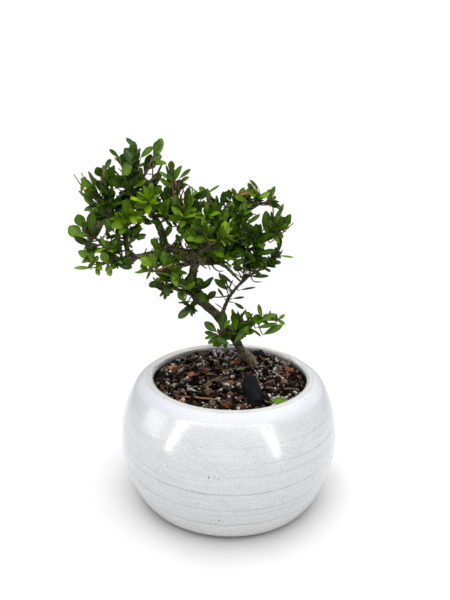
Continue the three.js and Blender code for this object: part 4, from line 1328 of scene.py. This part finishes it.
def scatter(name, count, sizes, seed, material, slot, rise, flat=0.75, patchy=False, **shape):
    """Strews lumps over the soil, evenly or in patches. Sizes across are in millimetres, `rise` is how
    far a lump stands out of the soil and `flat` is its height by its width."""
    rng = random.Random(seed)
    crumbs = Crumbs(name)
    made = 0
    while made < count:
        radius = (MOUTH_INSIDE - 0.2) * math.sqrt(rng.random())
        angle = rng.uniform(0, 2 * math.pi)
        x = radius * math.cos(angle)
        y = radius * math.sin(angle)
        size = lerp(*sizes, rng.random() ** 1.6)
        if radius + size / 2 > MOUTH_INSIDE or not is_clear(x, y):
            continue
        if patchy and noise.noise(Vector((x * 0.09, y * 0.09, 3.7))) < rng.uniform(-0.45, 0.15):
            continue
        half = (
            size * rng.uniform(0.8, 1.2) / 2,
            size * rng.uniform(0.6, 1.0) / 2,
            size * flat * rng.uniform(0.6, 1.0) / 2,
        )
        z = soil_height(x, y) + half[2] * rise + rng.uniform(0, 0.4)
        crumbs.lump((x, y, z), half, rng, **shape)
        made += 1
    crumbs.build(material, slot)


# Matt grainy materials: their dark, middle and light colour.
GRIT_COLORS = {
    "dead_twig": ((0.022, 0.017, 0.010), (0.075, 0.062, 0.038), (0.17, 0.145, 0.10)),
    "dark_crumb": ((0.001, 0.001, 0.001), (0.003, 0.002, 0.002), (0.015, 0.010, 0.008)),
    "brown_crumb": ((0.006, 0.003, 0.002), (0.027, 0.013, 0.010), (0.11, 0.060, 0.043)),
    "grey_grit": ((0.04, 0.035, 0.028), (0.17, 0.155, 0.135), (0.47, 0.45, 0.41)),
    "perlite": ((0.20, 0.19, 0.18), (0.40, 0.39, 0.37), (0.65, 0.65, 0.63)),
    "olive_grit": ((0.03, 0.024, 0.010), (0.09, 0.070, 0.036), (0.20, 0.165, 0.10)),
    "scoria": ((0.050, 0.016, 0.008), (0.15, 0.052, 0.024), (0.30, 0.135, 0.072)),
    "bark_fibre": ((0.015, 0.009, 0.006), (0.065, 0.043, 0.029), (0.23, 0.175, 0.12)),
    "dry_stick": ((0.10, 0.040, 0.020), (0.19, 0.085, 0.045), (0.28, 0.15, 0.085)),
    "rootlet": ((0.25, 0.20, 0.13), (0.42, 0.36, 0.27), (0.55, 0.50, 0.40)),
}


def grit_shader(name, roughness=0.9, grain=0.5, depth=0.2, middle=0.5):
    """A material of GRIT_COLORS. `grain` is the size of its specks and `depth` its relief."""
    shader = Shader(name, roughness, Specular_IOR_Level=0.03)
    speck = shader.between(shader.noise(grain, 4.0, 0.75), 0.32, 0.68, -0.38, 0.38)
    tone = shader.math("ADD", shader.attribute("tone"), speck)
    shader.base = shader.ramp(tone, list(zip((0.0, middle, 1.0), GRIT_COLORS[name])))
    shader.bump(shader.noise(grain, 3.0, 0.7), depth)
    return shader.done()


def build_grit():
    dark = grit_shader("dark_crumb")
    brown = grit_shader("brown_crumb")
    grey = grit_shader("grey_grit")
    white = grit_shader("perlite", roughness=0.8, middle=0.6)
    olive = grit_shader("olive_grit")
    flake = {"rise": 1.6, "blocky": 0.9, "tilt": 1.2, "ball": MIDDLE_BALL}
    grain = {"rough": 0.2, "blocky": 0.4, "tilt": 1.5}
    lava = {"rise": 1.1, "rough": 0.4, "blocky": 0.5, "ball": FINE_BALL}
    coal = {"rise": 0.9, "rough": 0.35, "blocky": 0.9, "tilt": 1.0}
    scatter("dark_crumbs", 800, (1.6, 4.2), 1, dark, "soil_mix", rise=0.3, rough=0.35)
    scatter("brown_crumbs", 420, (1.2, 3.6), 2, brown, "soil_mix", rise=0.7, rough=0.35, blocky=0.6, tilt=1.2)
    scatter("bark_flakes", 90, (2.2, 5.4), 7, brown, "bark_chip", flat=0.35, rough=0.55, **flake)
    scatter("dark_flakes", 120, (2.6, 6.0), 8, dark, "bark_chip", flat=0.4, rough=0.5, **flake)
    scatter("grey_grit", 1000, (0.9, 2.6), 3, grey, "soil_mix", rise=1.4, patchy=True, **grain)
    scatter("olive_grit", 220, (1.0, 2.6), 9, olive, "soil_mix", rise=1.3, **grain)
    scatter("perlite_grit", 190, (0.8, 2.1), 4, white, "soil_mix", rise=1.6, patchy=True, rough=0.2, tilt=1.5)
    scatter("scoria_grit", 34, (1.8, 4.8), 5, scoria_shader(), "scoria", **lava)
    scatter("charcoal_grit", 44, (1.8, 4.4), 6, charcoal_shader(), "charcoal", **coal)


def scoria_shader():
    return grit_shader("scoria", roughness=0.92, grain=0.9, depth=0.5)


def charcoal_shader():
    shader = Shader("charcoal", 0.6, Specular_IOR_Level=0.12)
    blacks = [(0.3, (0.0015, 0.0015, 0.002)), (0.7, (0.006, 0.0065, 0.009))]
    shader.base = shader.ramp(shader.noise(1.8, 3.0, 0.6), blacks)
    shader.bump(shader.noise(1.0, 4.0, 0.7, (1, 0.3, 1)), 0.35)
    return shader.done()


# ---------------------------------------------------------------- loose pieces on the soil

# The chips of the CAD model, with the big charcoal a little larger and turned further than there:
# middle x, y, lift off the soil, half sizes, bearing.
CHIPS = {
    "charcoal_chunk": (12, -20, 4.2, (4.9, 12, 6.6), 9),
    "charcoal_back": (18.5, 34.8, 1.6, (3.9, 2.5, 3.2), 10),
    "scoria_right": (35.5, 14, 0.8, (3.2, 3.6, 2.1), 20),
    "scoria_left": (-34.5, 13.5, 0.6, (2.7, 2.4, 1.9), 50),
}
# Flat faces broken off the big piece of charcoal: the way each faces and how far out it is, as a
# share of the piece's half sizes.
BREAKS = [
    (-0.75, -0.15, 0.65, 1.0), (0.85, -0.1, 0.5, 0.92), (0.1, -0.25, 0.95, 0.92), (-0.1, 0.6, 0.8, 1.02),
    (-0.6, 0.75, 0.3, 1.0), (0.6, 0.7, 0.4, 0.95), (-1, 0.1, 0.05, 0.95), (1, 0.25, -0.1, 0.94),
    (0.7, -0.7, 0.2, 1.05), (-0.7, -0.7, 0.2, 1.0), (0, -1, 0.3, 0.98), (0.4, -0.5, 0.75, 0.98),
]


def on_soil(x, y, lift):
    """The point `lift` above the CAD soil's surface."""
    return Vector((x, y, SOIL_Z + SOIL_SLOPE * y + lift))


def build_chips():
    """The two pieces of charcoal and the two of lava grit."""
    charcoal = ("charcoal", charcoal_shader(), 0.10, 1.2)
    scoria = ("scoria", scoria_shader(), 0.3, 0.4)
    for number, (name, (x, y, lift, half, bearing)) in enumerate(CHIPS.items()):
        rng = random.Random(SEEDS["chips"] + number)
        slot, material, rough, blocky = charcoal if name.startswith("charcoal") else scoria
        crumbs = Crumbs(f"{name}_piece")
        crumbs.lump((0, 0, 0), half, rng, rough, blocky, ball=FINE_BALL, turn=Matrix.Identity(3))
        if slot == "charcoal":
            crumbs.points = [broken(p, half) for p in crumbs.points]
        turn = Matrix.Rotation(math.radians(bearing), 3, "Z")
        crumbs.points = [on_soil(x, y, lift) + turn @ p for p in crumbs.points]
        crumbs.build(material, slot, name)


def broken(p, half):
    """A point of a lump, pushed in to the flat faces of BREAKS."""
    q = Vector((p.x / half[0], p.y / half[1], p.z / half[2]))
    for fx, fy, fz, out in BREAKS:
        face = Vector((fx, fy, fz)).normalized()
        over = q.dot(face) - out
        if over > 0:
            q -= face * over
    return Vector((q.x * half[0], q.y * half[1], q.z * half[2]))


STRAND_STEPS = 9


def strand(gather, start, end, radius, sag, rng, sides=5):
    """A crooked fibre from start to end, thinning at both ends."""
    path = []
    shift = Vector((rng.uniform(0, 90), rng.uniform(0, 90), 0))
    for n in range(STRAND_STEPS + 1):
        t = n / STRAND_STEPS
        p = start.lerp(end, t)
        swing = Vector((noise.noise(shift + p * 0.25), noise.noise(shift * 2 + p * 0.25), 0))
        p += swing * 1.2 * math.sin(math.pi * t) + Vector((0, 0, sag * math.sin(math.pi * t)))
        path.append((p, radius * (0.45 + 0.55 * math.sin(math.pi * min(max(t, 0.06), 0.94)))))
    gather.tube(path, sides, rng.random())


BARK_CURL = ((-14.5, -12.5), (-3.5, 1.5), 1.5)
BARK_CURL_LIFT = 0.75
STICK = ((-27, -25.5), (-3, -29), 0.55)
STICK_LIFT = 2.2
# The rootlet's two strands: start and end (x, y, lift off the soil), radius and sag.
ROOTLET = [((24.5, 9, 2.6), (32, -7, 2.2), 0.32, 0.8), ((36, 20, 1.5), (37.5, 27, 6), 0.18, 0.4)]
LOOSE_FIBRES = 150
FIBRES_REACH = 38  # how far out the loose fibres lie
FALLEN_LEAF = (26.8, -26.6, 8, 10.5, 5.4)  # middle x, y, bearing, length, width
SPROUT = (7.4, 9.5)


def build_litter():
    """The shaggy curl of bark, the thin stick, loose fibres, a rootlet, the fallen leaf and a sprout."""
    rng = random.Random(SEEDS["litter"])
    fibre = grit_shader("bark_fibre")
    build_bark_curl(fibre, rng)

    (x0, y0), (x1, y1), radius = STICK
    stick = Crumbs("dry_stick")
    strand(stick, on_soil(x0, y0, STICK_LIFT), on_soil(x1, y1, STICK_LIFT), radius, 0.35, rng, 8)
    stick.build(grit_shader("dry_stick"), "bark_chip", "stick", smooth_faces=True)

    rootlet = Crumbs("rootlet")
    for start, end, radius, sag in ROOTLET:
        strand(rootlet, on_soil(*start), on_soil(*end), radius, sag, rng, 6)
    loose = Crumbs("loose_fibres")
    for _ in range(LOOSE_FIBRES):
        reach = FIBRES_REACH * math.sqrt(rng.random())
        middle = heading(rng.uniform(0, 360), 0) * reach
        half = heading(rng.uniform(0, 180), rng.uniform(-6, 6)) * rng.uniform(1.5, 4.0)
        middle.z = soil_height(middle.x, middle.y) + rng.uniform(1.3, 2.4)
        strand(loose, middle - half, middle + half, rng.uniform(0.18, 0.42), 0.5, rng)
    loose.build(fibre, "bark_chip", smooth_faces=True)
    rootlet.build(grit_shader("rootlet"), "bark_chip", smooth_faces=True)
    build_fallen_leaves(rng)


def build_bark_curl(fibre, rng):
    """A bundle of fibres side by side over half a round."""
    curl = Crumbs("bark_curl_fibres")
    (x0, y0), (x1, y1), radius = BARK_CURL
    count = 26
    for n in range(count):
        angle = math.pi * n / (count - 1)
        off = Vector((-0.78, 0.62, 0)) * (math.cos(angle) * radius * 1.15)
        up = math.sin(angle) * radius * 0.9
        start = on_soil(x0, y0, BARK_CURL_LIFT + up * 0.6) + off * rng.uniform(0.8, 1.3)
        end = on_soil(x1, y1, BARK_CURL_LIFT + up * 0.6) + off * rng.uniform(0.5, 1.4)
        end += Vector((rng.uniform(-1, 1), rng.uniform(-1.5, 1.0), 0))
        strand(curl, start, end, rng.uniform(0.35, 0.65), 0.6 + up * 0.3, rng)
    curl.build(fibre, "bark_chip", "bark_curl", smooth_faces=True)


def flat_leaf(x, y, lift, bearing, length, width):
    """A leaf lying on the soil."""
    direction = heading(bearing, 4)
    normal = orthogonal(Vector((-0.1, -0.15, 1)), direction)
    base = on_soil(x, y, lift) - direction * (length / 2)
    return {"base": base, "dir": direction, "normal": normal, "length": length, "width": width}


def build_fallen_leaves(rng):
    """The fallen leaf, and the sprout together with a scrap of leaf near the front."""
    materials = (leaf_shader("fallen_leaf"), stem_shader("sprout_stem"))
    x, y, bearing, length, width = FALLEN_LEAF
    fallen = Foliage()
    fallen.leaf(flat_leaf(x, y, 1.5, bearing, length, width), 0.42, rng)
    fallen.build_piece("fallen_leaf_blade", materials, "fallen_leaf")
    sprout = Foliage()
    root = on_soil(*SPROUT, -1)
    stem = [(root, 0.3), (root + Vector((0, 0, 2)), 0.3), (root + Vector((0.3, -0.3, 3.6)), 0.25)]
    sprout.stem(stem, 6, 0.9)
    for turn in (20, 140, 200, 290):
        leaf = flat_leaf(root.x, root.y, 2.6, turn, 2.3, 1.5)
        leaf["base"] = root + Vector((0.2, -0.2, 3.3))
        leaf["dir"] = heading(turn, 35)
        leaf["normal"] = orthogonal(Vector((0, 0, 1)), leaf["dir"])
        sprout.leaf(leaf, 0.62, rng, 0.6)
    scrap = flat_leaf(19.5, -28.2, 1.6, 205, 3.2, 2.4)
    sprout.leaf(scrap, 0.7, rng, 0.5)
    sprout.build_piece("sprout", materials)


build_studio()
build_pot()
build_wood()
build_sprigs()
build_soil()
build_grit()
build_chips()
build_litter()
build_bare_shoots()
build_tangle()
